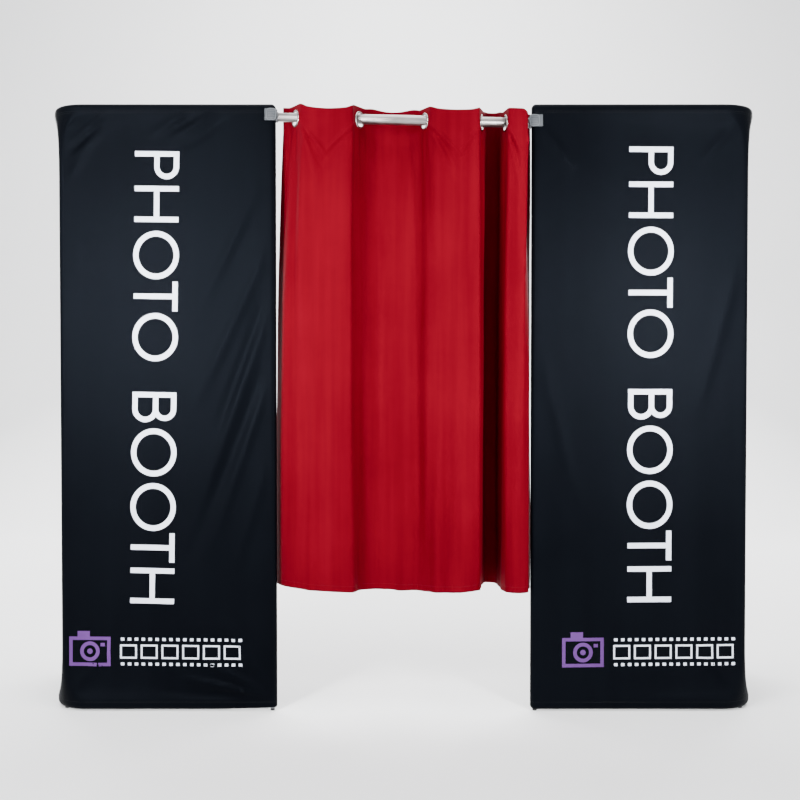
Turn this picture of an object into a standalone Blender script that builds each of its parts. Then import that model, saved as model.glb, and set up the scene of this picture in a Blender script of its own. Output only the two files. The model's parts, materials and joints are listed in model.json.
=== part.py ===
"""Free-standing photo booth: two L-shaped tube wings in zip-on covers, a telescopic rod and a curtain.

Metres, +Z up, front towards -Y, standing on z = 0.
"""
import math

import bmesh
import bpy
from mathutils import Matrix, Vector

# ---- overall layout ----
HEIGHT = 2.134
HALF_WIDTH = 1.248
DOOR_HALF = 0.447
WING_DEPTH = 0.610
FLOOR_GAP = 0.004

# ---- cover skin ----
SKIN = 0.0012
SKIN_GAP = 0.0006
FOOT_HOLE_R = 0.0095
EAR_LENGTH = 0.050
ZIP_START = 0.050
ZIP_LENGTH = 0.600
ZIP_RIB = 0.0018

# ---- tube frame ----
TUBE_R = 0.0150
TUBE_WALL = 0.0015
SPIGOT_R = 0.0130
SPIGOT_WALL = 0.0015
SPIGOT_LENGTH = 0.060
PEG_LENGTH = 0.045
JOINT_CLEAR = 0.0155
BEND_R = 0.107
BEND_STEPS = 6
SIDE_RAIL_START = 0.060
TUBE_SIDES = 16

# ---- snap buttons ----
BUTTON_R = 0.0030
BUTTON_HOLE_R = 0.0036
BUTTON_FLANGE_R = 0.0048
BUTTON_RISE = 0.030
BUTTON_PROUD = 0.0030

# ---- glide feet ----
FOOT_R = 0.0080
FOOT_HEIGHT = 0.0052
FOOT_STEM_R = 0.0040
FOOT_STEM_HOLE_R = 0.0045

# ---- telescopic rod ----
ROD_LEFT_Z = 2.0890
ROD_RIGHT_Z = 2.0690
ROD_END = 0.4385
ROD_OUTER_R = 0.0172
ROD_INNER_R = 0.0155
ROD_WALL = 0.0012
ROD_SIDES = 24
ROD_JOIN_X = -0.250
ROD_INNER_TAIL_X = 0.250
COLLAR_R = 0.0190
COLLAR_BACK = 0.024
COLLAR_FRONT = 0.012

# ---- post clamps ----
CLAMP_R = 0.0215
CLAMP_HEIGHT = 0.049
CLAMP_CLEAR = 0.0005
CLAMP_FRONT_LEG = 0.0215
CLAMP_BACK_LEG = 0.0100
CLAMP_PEG = 0.035
CLAMP_RISE = 0.006

# ---- grommets: centre position and angle between the cloth and the rod ----
GROMMET_X = (-0.3795, -0.1536, 0.0724, 0.2736, 0.3560, 0.4190)
GROMMET_DEG = (70.0, 60.0, 65.0, 72.0, 82.0, 82.0)
GROMMET_OUTER_R = 0.030
GROMMET_BORE_R = 0.023
GROMMET_GROOVE_R = 0.0262
GROMMET_THICK = 0.0052
GROMMET_GROOVE = 0.0022
GROMMET_DROP = 0.0032
GROMMET_SIDES = 24

# ---- curtain ----
CLOTH = 0.0012
CLOTH_HOLE_R = 0.0268
CURTAIN_LEFT_TOP = -0.421
CURTAIN_LEFT_HEM = -0.440
CURTAIN_RIGHT = 0.4425
CURTAIN_HEADER = 0.042
CURTAIN_LENGTH = 1.697
HEAD_FLAT = 0.085
HALF_FLAT = 0.037
HEM_FOLDS = (
    (-0.452, 0.030, 0.075),
    (-0.235, 0.070, -0.056),
    (-0.030, 0.055, 0.012),
    (0.185, 0.062, -0.048),
    (0.318, 0.036, 0.128),
    (0.385, 0.022, -0.040),
    (0.452, 0.026, 0.085),
)
CURTAIN_COLUMNS = 72
CURTAIN_LEVELS = (0.0, 0.0425, 0.085, 0.15, 0.28, 0.55, 1.00, CURTAIN_LENGTH)

RHO_OUT = TUBE_R + SKIN_GAP + SKIN
RHO_IN = TUBE_R + SKIN_GAP
RAIL_LOW_Z = FLOOR_GAP + RHO_OUT
RAIL_TOP_Z = HEIGHT - RHO_OUT
POST_SPLIT_Z = 0.5 * (RAIL_LOW_Z + RAIL_TOP_Z)
DOOR_X = DOOR_HALF + RHO_OUT
SIDE_X = HALF_WIDTH - RHO_OUT
SIDE_RUN = WING_DEPTH - 2.0 * RHO_OUT
BEND_CENTRE_X = SIDE_X - BEND_R
DIAGONAL = BEND_R * math.sqrt(0.5)
CORNER = Vector((BEND_CENTRE_X + DIAGONAL, BEND_R - DIAGONAL))
DOOR_POINT = Vector((DOOR_X, 0.0))
REAR_POINT = Vector((SIDE_X, SIDE_RUN))
ROD_TILT = math.atan2(ROD_LEFT_Z - ROD_RIGHT_Z, 2.0 * ROD_END)
ROD_MID_Z = 0.5 * (ROD_LEFT_Z + ROD_RIGHT_Z)
ROD_DIR = Vector((math.cos(ROD_TILT), 0.0, -math.sin(ROD_TILT)))


# ---------------------------------------------------------------- general helpers

def clear_file():
    """Start from an empty file."""
    for old in list(bpy.data.objects):
        bpy.data.objects.remove(old, do_unlink=True)
    for old in list(bpy.data.meshes):
        bpy.data.meshes.remove(old)
    for old in list(bpy.data.materials):
        bpy.data.materials.remove(old)


def material(name, colour, metallic, roughness):
    """One Principled material."""
    mat = bpy.data.materials.new(name)
    mat.use_nodes = True
    shader = mat.node_tree.nodes["Principled BSDF"]
    shader.inputs["Base Color"].default_value = (*colour, 1.0)
    shader.inputs["Metallic"].default_value = metallic
    shader.inputs["Roughness"].default_value = roughness
    mat.diffuse_color = (*colour, 1.0)
    return mat


def solid(name, verts, faces, mat, origin=(0.0, 0.0, 0.0), mirror=False):
    """Closed mesh object whose origin sits at the given point; mirror flips it to the left side."""
    flip = -1.0 if mirror else 1.0
    home = Vector((flip * origin[0], origin[1], origin[2]))
    moved = [Vector((flip * v[0], v[1], v[2])) - home for v in verts]
    mesh = bpy.data.meshes.new(name)
    mesh.from_pydata([tuple(v) for v in moved], [], faces)
    bm = bmesh.new()
    bm.from_mesh(mesh)
    bmesh.ops.remove_doubles(bm, verts=bm.verts[:], dist=1e-6)
    bmesh.ops.recalc_face_normals(bm, faces=bm.faces[:])
    bm.to_mesh(mesh)
    bm.free()
    mesh.materials.append(mat)
    obj = bpy.data.objects.new(name, mesh)
    obj.location = home
    bpy.context.scene.collection.objects.link(obj)
    return obj


def shade(obj, degrees=35.0):
    """Smooth faces with creases at sharp edges."""
    obj.data.shade_smooth()
    obj.data.set_sharp_from_angle(angle=math.radians(degrees))


def boolean(target, cutter, operation):
    """Apply one exact boolean and drop the cutter."""
    bpy.context.view_layer.update()
    step = target.modifiers.new("step", "BOOLEAN")
    step.object = cutter
    step.operation = operation
    step.solver = "EXACT"
    bpy.context.view_layer.update()
    graph = bpy.context.evaluated_depsgraph_get()
    result = bpy.data.meshes.new_from_object(target.evaluated_get(graph))
    target.modifiers.clear()
    old = target.data
    target.data = result
    bpy.data.meshes.remove(old)
    bpy.data.objects.remove(cutter, do_unlink=True)


def frame_from_axis(axis):
    """Rotation that takes +Z to the axis."""
    return Vector(axis).normalized().to_track_quat("Z", "Y").to_matrix()


def revolve(profile, sides, closed, centre, axis):
    """Turn a (radius, height) profile about an axis; closed profiles give rings."""
    turn = frame_from_axis(axis)
    verts = []
    rings = []
    for radius, height in profile:
        if radius < 1e-9:
            rings.append([len(verts)] * sides)
            verts.append(turn @ Vector((0.0, 0.0, height)) + Vector(centre))
            continue
        rings.append(list(range(len(verts), len(verts) + sides)))
        for i in range(sides):
            angle = 2.0 * math.pi * i / sides
            local = Vector((radius * math.cos(angle), radius * math.sin(angle), height))
            verts.append(turn @ local + Vector(centre))
    faces = []
    pairs = list(zip(rings[:-1], rings[1:]))
    if closed:
        pairs.append((rings[-1], rings[0]))
    for low, high in pairs:
        faces.extend(ring_faces(low, high))
    if not closed:
        for ring in (rings[0], rings[-1]):
            if ring[0] != ring[1]:
                faces.append(tuple(ring))
    return verts, faces


def ring_faces(low, high):
    """Faces between two rings of indices, where a ring may be one repeated pole."""
    faces = []
    count = len(low)
    for i in range(count):
        j = (i + 1) % count
        loop = []
        for index in (low[i], low[j], high[j], high[i]):
            if index not in loop:
                loop.append(index)
        if len(loop) > 2:
            faces.append(tuple(loop))
    return faces


def cylinder(name, centre, axis, radius, low, high, sides, mirror=False):
    """Plain cylinder used for cutting or joining."""
    verts, faces = revolve([(radius, low), (radius, high)], sides, False, centre, axis)
    obj = solid(name, verts, faces, MATERIALS["steel"], (0.0, 0.0, 0.0), mirror)
    obj.hide_render = True
    obj.display_type = "WIRE"
    return obj


def box(name, low, high, mirror=False):
    """Plain box used for cutting or joining."""
    xs = (low[0], high[0])
    ys = (low[1], high[1])
    zs = (low[2], high[2])
    verts = [(x, y, z) for x in xs for y in ys for z in zs]
    faces = [(0, 1, 3, 2), (4, 6, 7, 5), (0, 4, 5, 1), (2, 3, 7, 6), (0, 2, 6, 4), (1, 5, 7, 3)]
    obj = solid(name, verts, faces, MATERIALS["steel"], (0.0, 0.0, 0.0), mirror)
    obj.hide_render = True
    obj.display_type = "WIRE"
    return obj


# ---------------------------------------------------------------- cover

def unit(vector):
    """Unit copy of a plan vector."""
    return vector / vector.length


def outward(direction):
    """Plan normal on the outer side of a path that runs from door to rear."""
    return Vector((direction.y, -direction.x))


def arc(centre, radius, start, turn, steps):
    """Plan points along an arc, both ends included."""
    points = []
    for i in range(steps + 1):
        angle = start + turn * i / steps
        points.append(centre + radius * Vector((math.cos(angle), math.sin(angle))))
    return points


def outer_wall(half, taut):
    """Outer plan line from door to rear: follows the bend (taut 0) or wraps the corner post (taut 1)."""
    loose = arc(Vector((BEND_CENTRE_X, BEND_R)), BEND_R + half, -0.5 * math.pi, 0.5 * math.pi, BEND_STEPS)
    front = outward(unit(CORNER - DOOR_POINT))
    side = outward(unit(REAR_POINT - CORNER))
    start = math.atan2(front.y, front.x)
    turn = math.atan2(side.y, side.x) - start
    tight = arc(CORNER, half, start, turn, BEND_STEPS)
    return [a.lerp(b, taut) for a, b in zip(loose, tight)]


def inner_wall(half, taut):
    """Inner plan line from door to rear, the booth side of the same wall."""
    centre = Vector((BEND_CENTRE_X, BEND_R))
    loose = arc(centre, BEND_R - half, -0.5 * math.pi, 0.5 * math.pi, BEND_STEPS)
    front = outward(unit(CORNER - DOOR_POINT))
    side = outward(unit(REAR_POINT - CORNER))
    small = 0.012
    mitre = (front + side) / (1.0 + front.dot(side))
    pivot = CORNER - mitre * (half + small)
    start = math.atan2(front.y, front.x)
    turn = math.atan2(side.y, side.x) - start
    tight = arc(pivot, small, start, turn, BEND_STEPS)
    return [a.lerp(b, taut) for a, b in zip(loose, tight)]


def plan_loop(half, taut):
    """Closed plan outline of the covered wing at one height."""
    outer = outer_wall(half, taut)
    inner = inner_wall(half, taut)
    front_dir = unit((CORNER - DOOR_POINT) * taut + Vector((1.0, 0.0)) * (1.0 - taut))
    side_dir = unit((REAR_POINT - CORNER) * taut + Vector((0.0, 1.0)) * (1.0 - taut))
    front = outward(front_dir)
    side = outward(side_dir)
    door_start = math.atan2(-front.y, -front.x)
    rear_start = math.atan2(side.y, side.x)
    loop = arc(DOOR_POINT, half, door_start, math.pi, 8)
    loop.append(loop[-1].lerp(outer[0], 0.5))
    loop.extend(outer)
    rear_cap = arc(REAR_POINT, half, rear_start, math.pi, 8)
    loop.append(outer[-1].lerp(rear_cap[0], 0.5))
    loop.extend(rear_cap)
    loop.append(rear_cap[-1].lerp(inner[-1], 0.5))
    loop.extend(reversed(inner))
    loop.append(inner[0].lerp(loop[0], 0.5))
    return loop


def cover_levels(radius):
    """(height, half thickness, tautness) from the bottom edge to the top edge."""
    levels = []
    for degrees in (-80.0, -52.0, -26.0, 0.0):
        angle = math.radians(degrees)
        levels.append((RAIL_LOW_Z + radius * math.sin(angle), radius * math.cos(angle), 0.0))
    rises = (0.018, 0.040, 0.075, 0.130, 0.230)
    for rise in rises:
        levels.append((RAIL_LOW_Z + rise, radius, tautness(rise)))
    for rise in reversed(rises):
        levels.append((RAIL_TOP_Z - rise, radius, tautness(rise)))
    for degrees in (0.0, 26.0, 52.0, 80.0):
        angle = math.radians(degrees)
        levels.append((RAIL_TOP_Z + radius * math.sin(angle), radius * math.cos(angle), 0.0))
    return levels


def tautness(rise):
    """How far the cloth has left the bent rail and gone straight, at a distance from the rail."""
    free = max(0.0, rise - 0.018)
    if rise > 0.2:
        return 1.0
    return 1.0 - math.exp(-free / EAR_LENGTH)


def cover_body(name, radius, mirror):
    """Closed pillow around the wing frame at one distance from the tube centres."""
    verts = []
    rings = []
    for height, half, taut in cover_levels(radius):
        loop = plan_loop(half, taut)
        rings.append(list(range(len(verts), len(verts) + len(loop))))
        verts.extend(Vector((p.x, p.y, height)) for p in loop)
    faces = []
    for low, high in zip(rings[:-1], rings[1:]):
        faces.extend(ring_faces(low, high))
    faces.extend(strip_cap(rings[0]))
    faces.extend(strip_cap(rings[-1]))
    return solid(name, verts, triangles(faces), MATERIALS["cover"], (0.0, 0.0, 0.0), mirror)


def triangles(faces):
    """Four-sided faces cut along the same diagonal, so that both walls of the cloth twist alike."""
    parts = []
    for face in faces:
        parts.append(tuple(face[:3]))
        if len(face) == 4:
            parts.append((face[0], face[2], face[3]))
    return parts


def strip_cap(ring):
    """Close the narrow top or bottom by joining opposite points of the outline."""
    count = len(ring)
    first = 4
    faces = []
    steps = count // 2
    for i in range(steps):
        a = ring[(first + i) % count]
        b = ring[(first + i + 1) % count]
        c = ring[(first - i - 1) % count]
        d = ring[(first - i) % count]
        loop = []
        for index in (a, b, c, d):
            if index not in loop:
                loop.append(index)
        if len(loop) > 2:
            faces.append(tuple(loop))
    return faces


def make_cover(side, mirror):
    """Hollow zip-on cover with foot holes and the raised zip chain on its lower back edge."""
    cover = cover_body(side + "_cover", RHO_OUT, mirror)
    boolean(cover, cover_body("hollow", RHO_IN, mirror), "DIFFERENCE")
    for point in (DOOR_POINT, CORNER, REAR_POINT):
        centre = (point.x, point.y, 0.0)
        hole = cylinder("hole", centre, (0, 0, 1), FOOT_HOLE_R, -0.01, 0.013, 20, mirror)
        boolean(cover, hole, "DIFFERENCE")
    low = (DOOR_X + ZIP_START, RHO_OUT - 0.0009, RAIL_LOW_Z)
    high = (DOOR_X + ZIP_START + ZIP_LENGTH, RHO_OUT + ZIP_RIB, RAIL_LOW_Z + 0.005)
    boolean(cover, box("rib", low, high, mirror), "UNION")
    shade(cover, 30.0)


def make_zip(side, mirror):
    """Slider that straddles the zip chain, and its hanging pull."""
    x = DOOR_X + ZIP_START + 0.020
    face = RHO_OUT
    mid = RAIL_LOW_Z + 0.0025
    low = (x - 0.007, face + 0.0004, mid - 0.007)
    high = (x + 0.007, face + 0.0062, mid + 0.007)
    slider = box(side + "_zip_slider", low, high, mirror)
    slot_low = (x - 0.02, face - 0.01, mid - 0.0030)
    slot_high = (x + 0.02, face + ZIP_RIB + 0.0004, mid + 0.0030)
    boolean(slider, box("slot", slot_low, slot_high, mirror), "DIFFERENCE")
    low = (x - 0.005, face + 0.0060, mid + 0.0005)
    high = (x + 0.005, face + 0.0105, mid + 0.0060)
    boolean(slider, box("bridge", low, high, mirror), "UNION")
    pin_y = face + 0.0082
    pin_z = mid + 0.0032
    eye = cylinder("eye", (x, pin_y, pin_z), (1, 0, 0), 0.0013, -0.01, 0.01, 12, mirror)
    boolean(slider, eye, "DIFFERENCE")
    finish_small(slider, (x, pin_y, pin_z), "steel", mirror)
    make_zip_pull(side, mirror, x, pin_y, pin_z)


def make_zip_pull(side, mirror, x, pin_y, pin_z):
    """Rectangular wire loop through the slider's eye with a short tab; swings about the eye."""
    wire = 0.0009
    half = 0.0064
    drop = 0.0150
    parts = []
    pull = cylinder(side + "_zip_pull", (x, pin_y, pin_z), (1, 0, 0), wire, -half, half, 10, mirror)
    for sign in (-1.0, 1.0):
        low = (x + sign * half - wire, pin_y - wire, pin_z - drop)
        high = (x + sign * half + wire, pin_y + wire, pin_z + wire)
        parts.append(box("leg", low, high, mirror))
    low = (x - half - wire, pin_y - wire, pin_z - drop - 0.0010)
    high = (x + half + wire, pin_y + wire, pin_z - drop + 0.0014)
    parts.append(box("tab", low, high, mirror))
    for part in parts:
        boolean(pull, part, "UNION")
    finish_small(pull, (x, pin_y, pin_z), "steel", mirror)


def finish_small(obj, origin, slot, mirror):
    """Show a built-up part, move its origin to its axis and give it its material."""
    flip = -1.0 if mirror else 1.0
    home = Vector((flip * origin[0], origin[1], origin[2]))
    shift = home - obj.location
    obj.data.transform(Matrix.Translation(-shift))
    obj.location = home
    obj.hide_render = False
    obj.display_type = "TEXTURED"
    obj.data.materials.clear()
    obj.data.materials.append(MATERIALS[slot])
    shade(obj)


# ---------------------------------------------------------------- tube frame

def make_post(side, place, point, toward, mirror):
    """Two-piece upright: the lower piece ends in a reduced spigot that the upper piece slides over."""
    bore = TUBE_R - TUBE_WALL
    tip = SPIGOT_R - SPIGOT_WALL
    low = RAIL_LOW_Z + JOINT_CLEAR
    top = RAIL_TOP_Z - JOINT_CLEAR
    split = POST_SPLIT_Z
    profile = [
        (bore, low), (TUBE_R, low), (TUBE_R, split), (SPIGOT_R, split + 0.001),
        (SPIGOT_R, split + SPIGOT_LENGTH), (tip, split + SPIGOT_LENGTH), (tip, split - 0.006),
        (bore, split - 0.010),
    ]
    centre = (point.x, point.y, 0.0)
    origin = (point.x, point.y, low)
    verts, faces = revolve(profile, TUBE_SIDES, True, centre, (0, 0, 1))
    lower = solid(side + "_" + place + "_post_lower", verts, faces, MATERIALS["frame"], origin, mirror)
    start = split + 0.0015
    profile = [(bore, start), (TUBE_R, start), (TUBE_R, top), (bore, top)]
    verts, faces = revolve(profile, TUBE_SIDES, True, centre, (0, 0, 1))
    upper = solid(side + "_" + place + "_post_upper", verts, faces, MATERIALS["frame"], origin, mirror)
    height = split + BUTTON_RISE
    axis = (toward.x, toward.y, 0.0)
    for tube in (lower, upper):
        drill = cylinder("drill", (point.x, point.y, height), axis, BUTTON_HOLE_R, 0.006, 0.03, 12, mirror)
        boolean(tube, drill, "DIFFERENCE")
        shade(tube)
    make_button(side, place, (point.x, point.y, height), axis, mirror)


def make_button(side, place, centre, axis, mirror):
    """Domed snap button with the flange that keeps it in the spigot."""
    tip = TUBE_R + BUTTON_PROUD
    profile = [
        (0.0, 0.0085), (BUTTON_FLANGE_R, 0.0085), (BUTTON_FLANGE_R, 0.0100), (BUTTON_R, 0.0100),
        (BUTTON_R, tip - 0.0015), (0.72 * BUTTON_R, tip - 0.0005), (0.0, tip),
    ]
    verts, faces = revolve(profile, 12, False, centre, axis)
    button = solid(side + "_" + place + "_button", verts, faces, MATERIALS["steel"], centre, mirror)
    shade(button)


def make_connector(side, place, point, height, rail_axis, up, mirror):
    """Ball corner with one peg into the rail and one into the post."""
    centre = (point.x, point.y, height)
    profile = []
    for i in range(9):
        angle = math.pi * i / 8.0
        radius = TUBE_R * math.sin(angle)
        profile.append((radius if 0 < i < 8 else 0.0, -TUBE_R * math.cos(angle)))
    verts, faces = revolve(profile, TUBE_SIDES, False, centre, (0, 0, 1))
    ball = solid(side + "_" + place + "_connector", verts, faces, MATERIALS["plastic"], centre, mirror)
    for axis in (rail_axis, (0, 0, up)):
        peg = cylinder("peg", centre, axis, SPIGOT_R, 0.004, JOINT_CLEAR + PEG_LENGTH, TUBE_SIDES, mirror)
        boolean(ball, peg, "UNION")
    if up > 0:
        socket = cylinder("socket", centre, (0, 0, 1), FOOT_STEM_HOLE_R, -0.03, -0.0035, 12, mirror)
        boolean(ball, socket, "DIFFERENCE")
    shade(ball)


def front_rail_path():
    """Plan points of the rail that runs from the door corner round the outer bend."""
    bend = arc(Vector((BEND_CENTRE_X, BEND_R)), BEND_R, -0.5 * math.pi, 0.5 * math.pi, BEND_STEPS)
    path = [Vector((DOOR_X + JOINT_CLEAR, 0.0))]
    path.extend(bend)
    path.append(Vector((SIDE_X, BEND_R + SIDE_RAIL_START)))
    return path


def make_front_rail(side, place, height, up, mirror):
    """Hollow bent rail with an upright peg at the middle of the bend."""
    path = front_rail_path()
    bore = TUBE_R - TUBE_WALL
    verts = []
    outer_rings = []
    inner_rings = []
    for i, point in enumerate(path):
        before = path[max(0, i - 1)]
        after = path[min(len(path) - 1, i + 1)]
        normal = outward(unit(bend_direction(i, before, after)))
        for radius, rings in ((TUBE_R, outer_rings), (bore, inner_rings)):
            rings.append(list(range(len(verts), len(verts) + TUBE_SIDES)))
            for k in range(TUBE_SIDES):
                angle = 2.0 * math.pi * k / TUBE_SIDES
                across = radius * math.cos(angle)
                rise = height + radius * math.sin(angle)
                verts.append(Vector((point.x + normal.x * across, point.y + normal.y * across, rise)))
    faces = []
    for rings in (outer_rings, inner_rings):
        for low, high in zip(rings[:-1], rings[1:]):
            faces.extend(ring_faces(low, high))
    faces.extend(ring_faces(outer_rings[0], inner_rings[0]))
    faces.extend(ring_faces(outer_rings[-1], inner_rings[-1]))
    name = side + "_" + place + "_front_rail"
    origin = (DOOR_X + JOINT_CLEAR, 0.0, height)
    rail = solid(name, verts, faces, MATERIALS["frame"], origin, mirror)
    centre = (CORNER.x, CORNER.y, height)
    peg = cylinder("peg", centre, (0, 0, up), SPIGOT_R, 0.0045, JOINT_CLEAR + PEG_LENGTH, TUBE_SIDES, mirror)
    boolean(rail, peg, "UNION")
    if up > 0:
        hole = cylinder("hole", centre, (0, 0, 1), FOOT_STEM_HOLE_R, -0.03, -0.005, 12, mirror)
        boolean(rail, hole, "DIFFERENCE")
    shade(rail)


def bend_direction(i, before, after):
    """Direction of the rail path at a point, exact on the bend."""
    if 1 <= i <= BEND_STEPS + 1:
        angle = 0.5 * math.pi * (i - 1) / BEND_STEPS
        return Vector((math.cos(angle), math.sin(angle)))
    return after - before


def make_side_rail(side, place, height, mirror):
    """Straight side rail whose reduced front end plugs into the bent rail."""
    bore = TUBE_R - TUBE_WALL
    tip = SPIGOT_R - SPIGOT_WALL
    start = BEND_R + SIDE_RAIL_START + 0.0005
    end = SIDE_RUN - JOINT_CLEAR
    nose = start - 0.050
    profile = [
        (tip, nose), (SPIGOT_R, nose), (SPIGOT_R, start - 0.0003), (TUBE_R, start),
        (TUBE_R, end), (bore, end), (bore, start + 0.010), (tip, start + 0.006),
    ]
    verts, faces = revolve(profile, TUBE_SIDES, True, (SIDE_X, 0.0, height), (0, 1, 0))
    origin = (SIDE_X, start, height)
    name = side + "_" + place + "_side_rail"
    rail = solid(name, verts, faces, MATERIALS["frame"], origin, mirror)
    shade(rail)


def make_foot(side, place, point, mirror):
    """Glide foot: a round pad with a stem that plugs up into the frame."""
    profile = [
        (0.0, 0.0), (FOOT_R - 0.0010, 0.0), (FOOT_R, 0.0010), (FOOT_R, FOOT_HEIGHT),
        (FOOT_STEM_R, FOOT_HEIGHT), (FOOT_STEM_R, 0.0150), (0.0, 0.0150),
    ]
    centre = (point.x, point.y, 0.0)
    verts, faces = revolve(profile, 20, False, centre, (0, 0, 1))
    foot = solid(side + "_" + place + "_foot", verts, faces, MATERIALS["rubber"], centre, mirror)
    shade(foot)


def make_wing(side, mirror):
    """All the parts of one covered wing."""
    into_bay = Vector((1.0, 0.0))
    to_door = Vector((-1.0, 0.0))
    to_front = Vector((0.0, -1.0))
    make_post(side, "inner", DOOR_POINT, into_bay, mirror)
    make_post(side, "corner", CORNER, to_door, mirror)
    make_post(side, "rear", REAR_POINT, to_front, mirror)
    for place, height, up in (("bottom", RAIL_LOW_Z, 1), ("top", RAIL_TOP_Z, -1)):
        make_connector(side, place + "_inner", DOOR_POINT, height, (1, 0, 0), up, mirror)
        make_connector(side, place + "_rear", REAR_POINT, height, (0, -1, 0), up, mirror)
        make_front_rail(side, place, height, up, mirror)
        make_side_rail(side, place, height, mirror)
    make_foot(side, "inner", DOOR_POINT, mirror)
    make_foot(side, "corner", CORNER, mirror)
    make_foot(side, "rear", REAR_POINT, mirror)
    make_cover(side, mirror)
    make_zip(side, mirror)


# ---------------------------------------------------------------- rod

def rod_point(x):
    """Point of the rod's axis above a given x."""
    return Vector((x, 0.0, ROD_MID_Z - x * math.tan(ROD_TILT)))


def rod_tube(name, start, end, radius, slot):
    """Hollow tube along the rod axis between two x positions."""
    bore = radius - ROD_WALL
    length = (end - start) / math.cos(ROD_TILT)
    profile = [(bore, 0.0), (radius, 0.0), (radius, length), (bore, length)]
    verts, faces = revolve(profile, ROD_SIDES, True, rod_point(start), ROD_DIR)
    tube = solid(name, verts, faces, MATERIALS[slot], rod_point(start))
    shade(tube)


def make_rod():
    """Telescopic rod: thin tube on the left, thick tube on the right, twist collar on the join."""
    rod_tube("rod_outer_tube", ROD_JOIN_X, ROD_END, ROD_OUTER_R, "rod")
    rod_tube("rod_inner_tube", -ROD_END, ROD_INNER_TAIL_X, ROD_INNER_R, "rod")
    over = ROD_OUTER_R + 0.0004
    grip = ROD_INNER_R + 0.0004
    lip = COLLAR_R - 0.0006
    profile = [
        (grip, -COLLAR_FRONT), (lip, -COLLAR_FRONT), (COLLAR_R, -COLLAR_FRONT + 0.0015),
        (COLLAR_R, COLLAR_BACK - 0.0015), (lip, COLLAR_BACK), (over, COLLAR_BACK), (over, -0.0008),
        (grip, -0.0008),
    ]
    centre = rod_point(ROD_JOIN_X)
    verts, faces = revolve(profile, ROD_SIDES, True, centre, ROD_DIR)
    collar = solid("rod_lock_collar", verts, faces, MATERIALS["plastic"], centre)
    shade(collar)


def clamp_section(inner, outer, inset, sign):
    """Plan outline of the U-shaped jaw that grips the covered post from its door side."""
    front = CLAMP_FRONT_LEG - inset
    back = CLAMP_BACK_LEG - inset
    radius = outer - inset
    outline = [Vector((front, -radius))]
    outline.extend(arc(Vector((0.0, 0.0)), radius, -0.5 * math.pi, -math.pi, 14))
    outline.append(Vector((back, radius)))
    outline.append(Vector((back, inner + 0.0007)))
    outline.extend(arc(Vector((0.0, 0.0)), inner, 0.5 * math.pi, math.pi, 14))
    outline.append(Vector((front, -inner)))
    return [Vector((sign * p.x, p.y)) for p in outline]


def make_clamp(name, sign):
    """Snap-on post clamp: U-shaped jaw, round flange and the peg that enters the rod."""
    post = Vector((sign * DOOR_X, 0.0, rod_point(sign * DOOR_X).z + CLAMP_RISE))
    bore = RHO_OUT + CLAMP_CLEAR
    verts = []
    half = 0.5 * CLAMP_HEIGHT
    bevel = 0.002
    stack = ((-half, bevel), (-half + bevel, 0.0), (half - bevel, 0.0), (half, bevel))
    for height, inset in stack:
        outline = clamp_section(bore, CLAMP_R, inset, sign)
        verts.extend(Vector((post.x + p.x, p.y, post.z + height)) for p in outline)
    count = len(outline)
    faces = [tuple(range(count)), tuple(range(3 * count, 4 * count))]
    for level in range(3):
        low = list(range(level * count, (level + 1) * count))
        high = list(range((level + 1) * count, (level + 2) * count))
        faces.extend(ring_faces(low, high))
    clamp = solid(name, verts, faces, MATERIALS["plastic"], post)
    end = rod_point(sign * ROD_END)
    toward = -sign * ROD_DIR
    tube = ROD_OUTER_R if sign > 0 else ROD_INNER_R
    reach = (DOOR_X - ROD_END) / math.cos(ROD_TILT)
    profile = [
        (tube + 0.0012, bore - reach + 0.0006), (tube + 0.0012, -0.0005), (tube - ROD_WALL - 0.0004, -0.0005),
        (tube - ROD_WALL - 0.0004, CLAMP_PEG - 0.002), (tube - ROD_WALL - 0.0024, CLAMP_PEG),
    ]
    verts, faces = revolve(profile, ROD_SIDES, False, end, toward)
    boss = solid("boss", verts, faces, MATERIALS["plastic"])
    boss.hide_render = True
    boss.display_type = "WIRE"
    clear = cylinder("clear", (post.x, 0.0, post.z), (0, 0, 1), bore, -0.05, 0.05, 48)
    boolean(boss, clear, "DIFFERENCE")
    boolean(clamp, boss, "UNION")
    shade(clamp)


# ---------------------------------------------------------------- curtain

def grommet_centre(i):
    """Centre of a grommet, hanging a little below the rod's axis."""
    return rod_point(GROMMET_X[i]) - Vector((0.0, 0.0, GROMMET_DROP))


def cloth_direction(i):
    """Plan direction of the cloth through a grommet; it changes side at each one."""
    angle = math.radians(GROMMET_DEG[i])
    side = -1.0 if i % 2 == 0 else 1.0
    return Vector((math.cos(angle), side * math.sin(angle)))


def make_grommet(i):
    """Metal ring with a groove that holds the edge of the cloth hole."""
    half = 0.5 * GROMMET_THICK
    slot = 0.5 * GROMMET_GROOVE
    edge = 0.0012
    profile = [
        (GROMMET_BORE_R, -half + edge), (GROMMET_BORE_R + edge, -half),
        (GROMMET_OUTER_R - edge, -half + 0.0003), (GROMMET_OUTER_R, -slot), (GROMMET_GROOVE_R, -slot),
        (GROMMET_GROOVE_R, slot), (GROMMET_OUTER_R, slot),
        (GROMMET_OUTER_R - edge, half - 0.0003), (GROMMET_BORE_R + edge, half), (GROMMET_BORE_R, half - edge),
    ]
    direction = cloth_direction(i)
    axis = (direction.y, -direction.x, 0.0)
    centre = grommet_centre(i)
    verts, faces = revolve(profile, GROMMET_SIDES, True, centre, axis)
    ring = solid("grommet_" + str(i + 1), verts, faces, MATERIALS["grommet"], centre)
    shade(ring)


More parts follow.
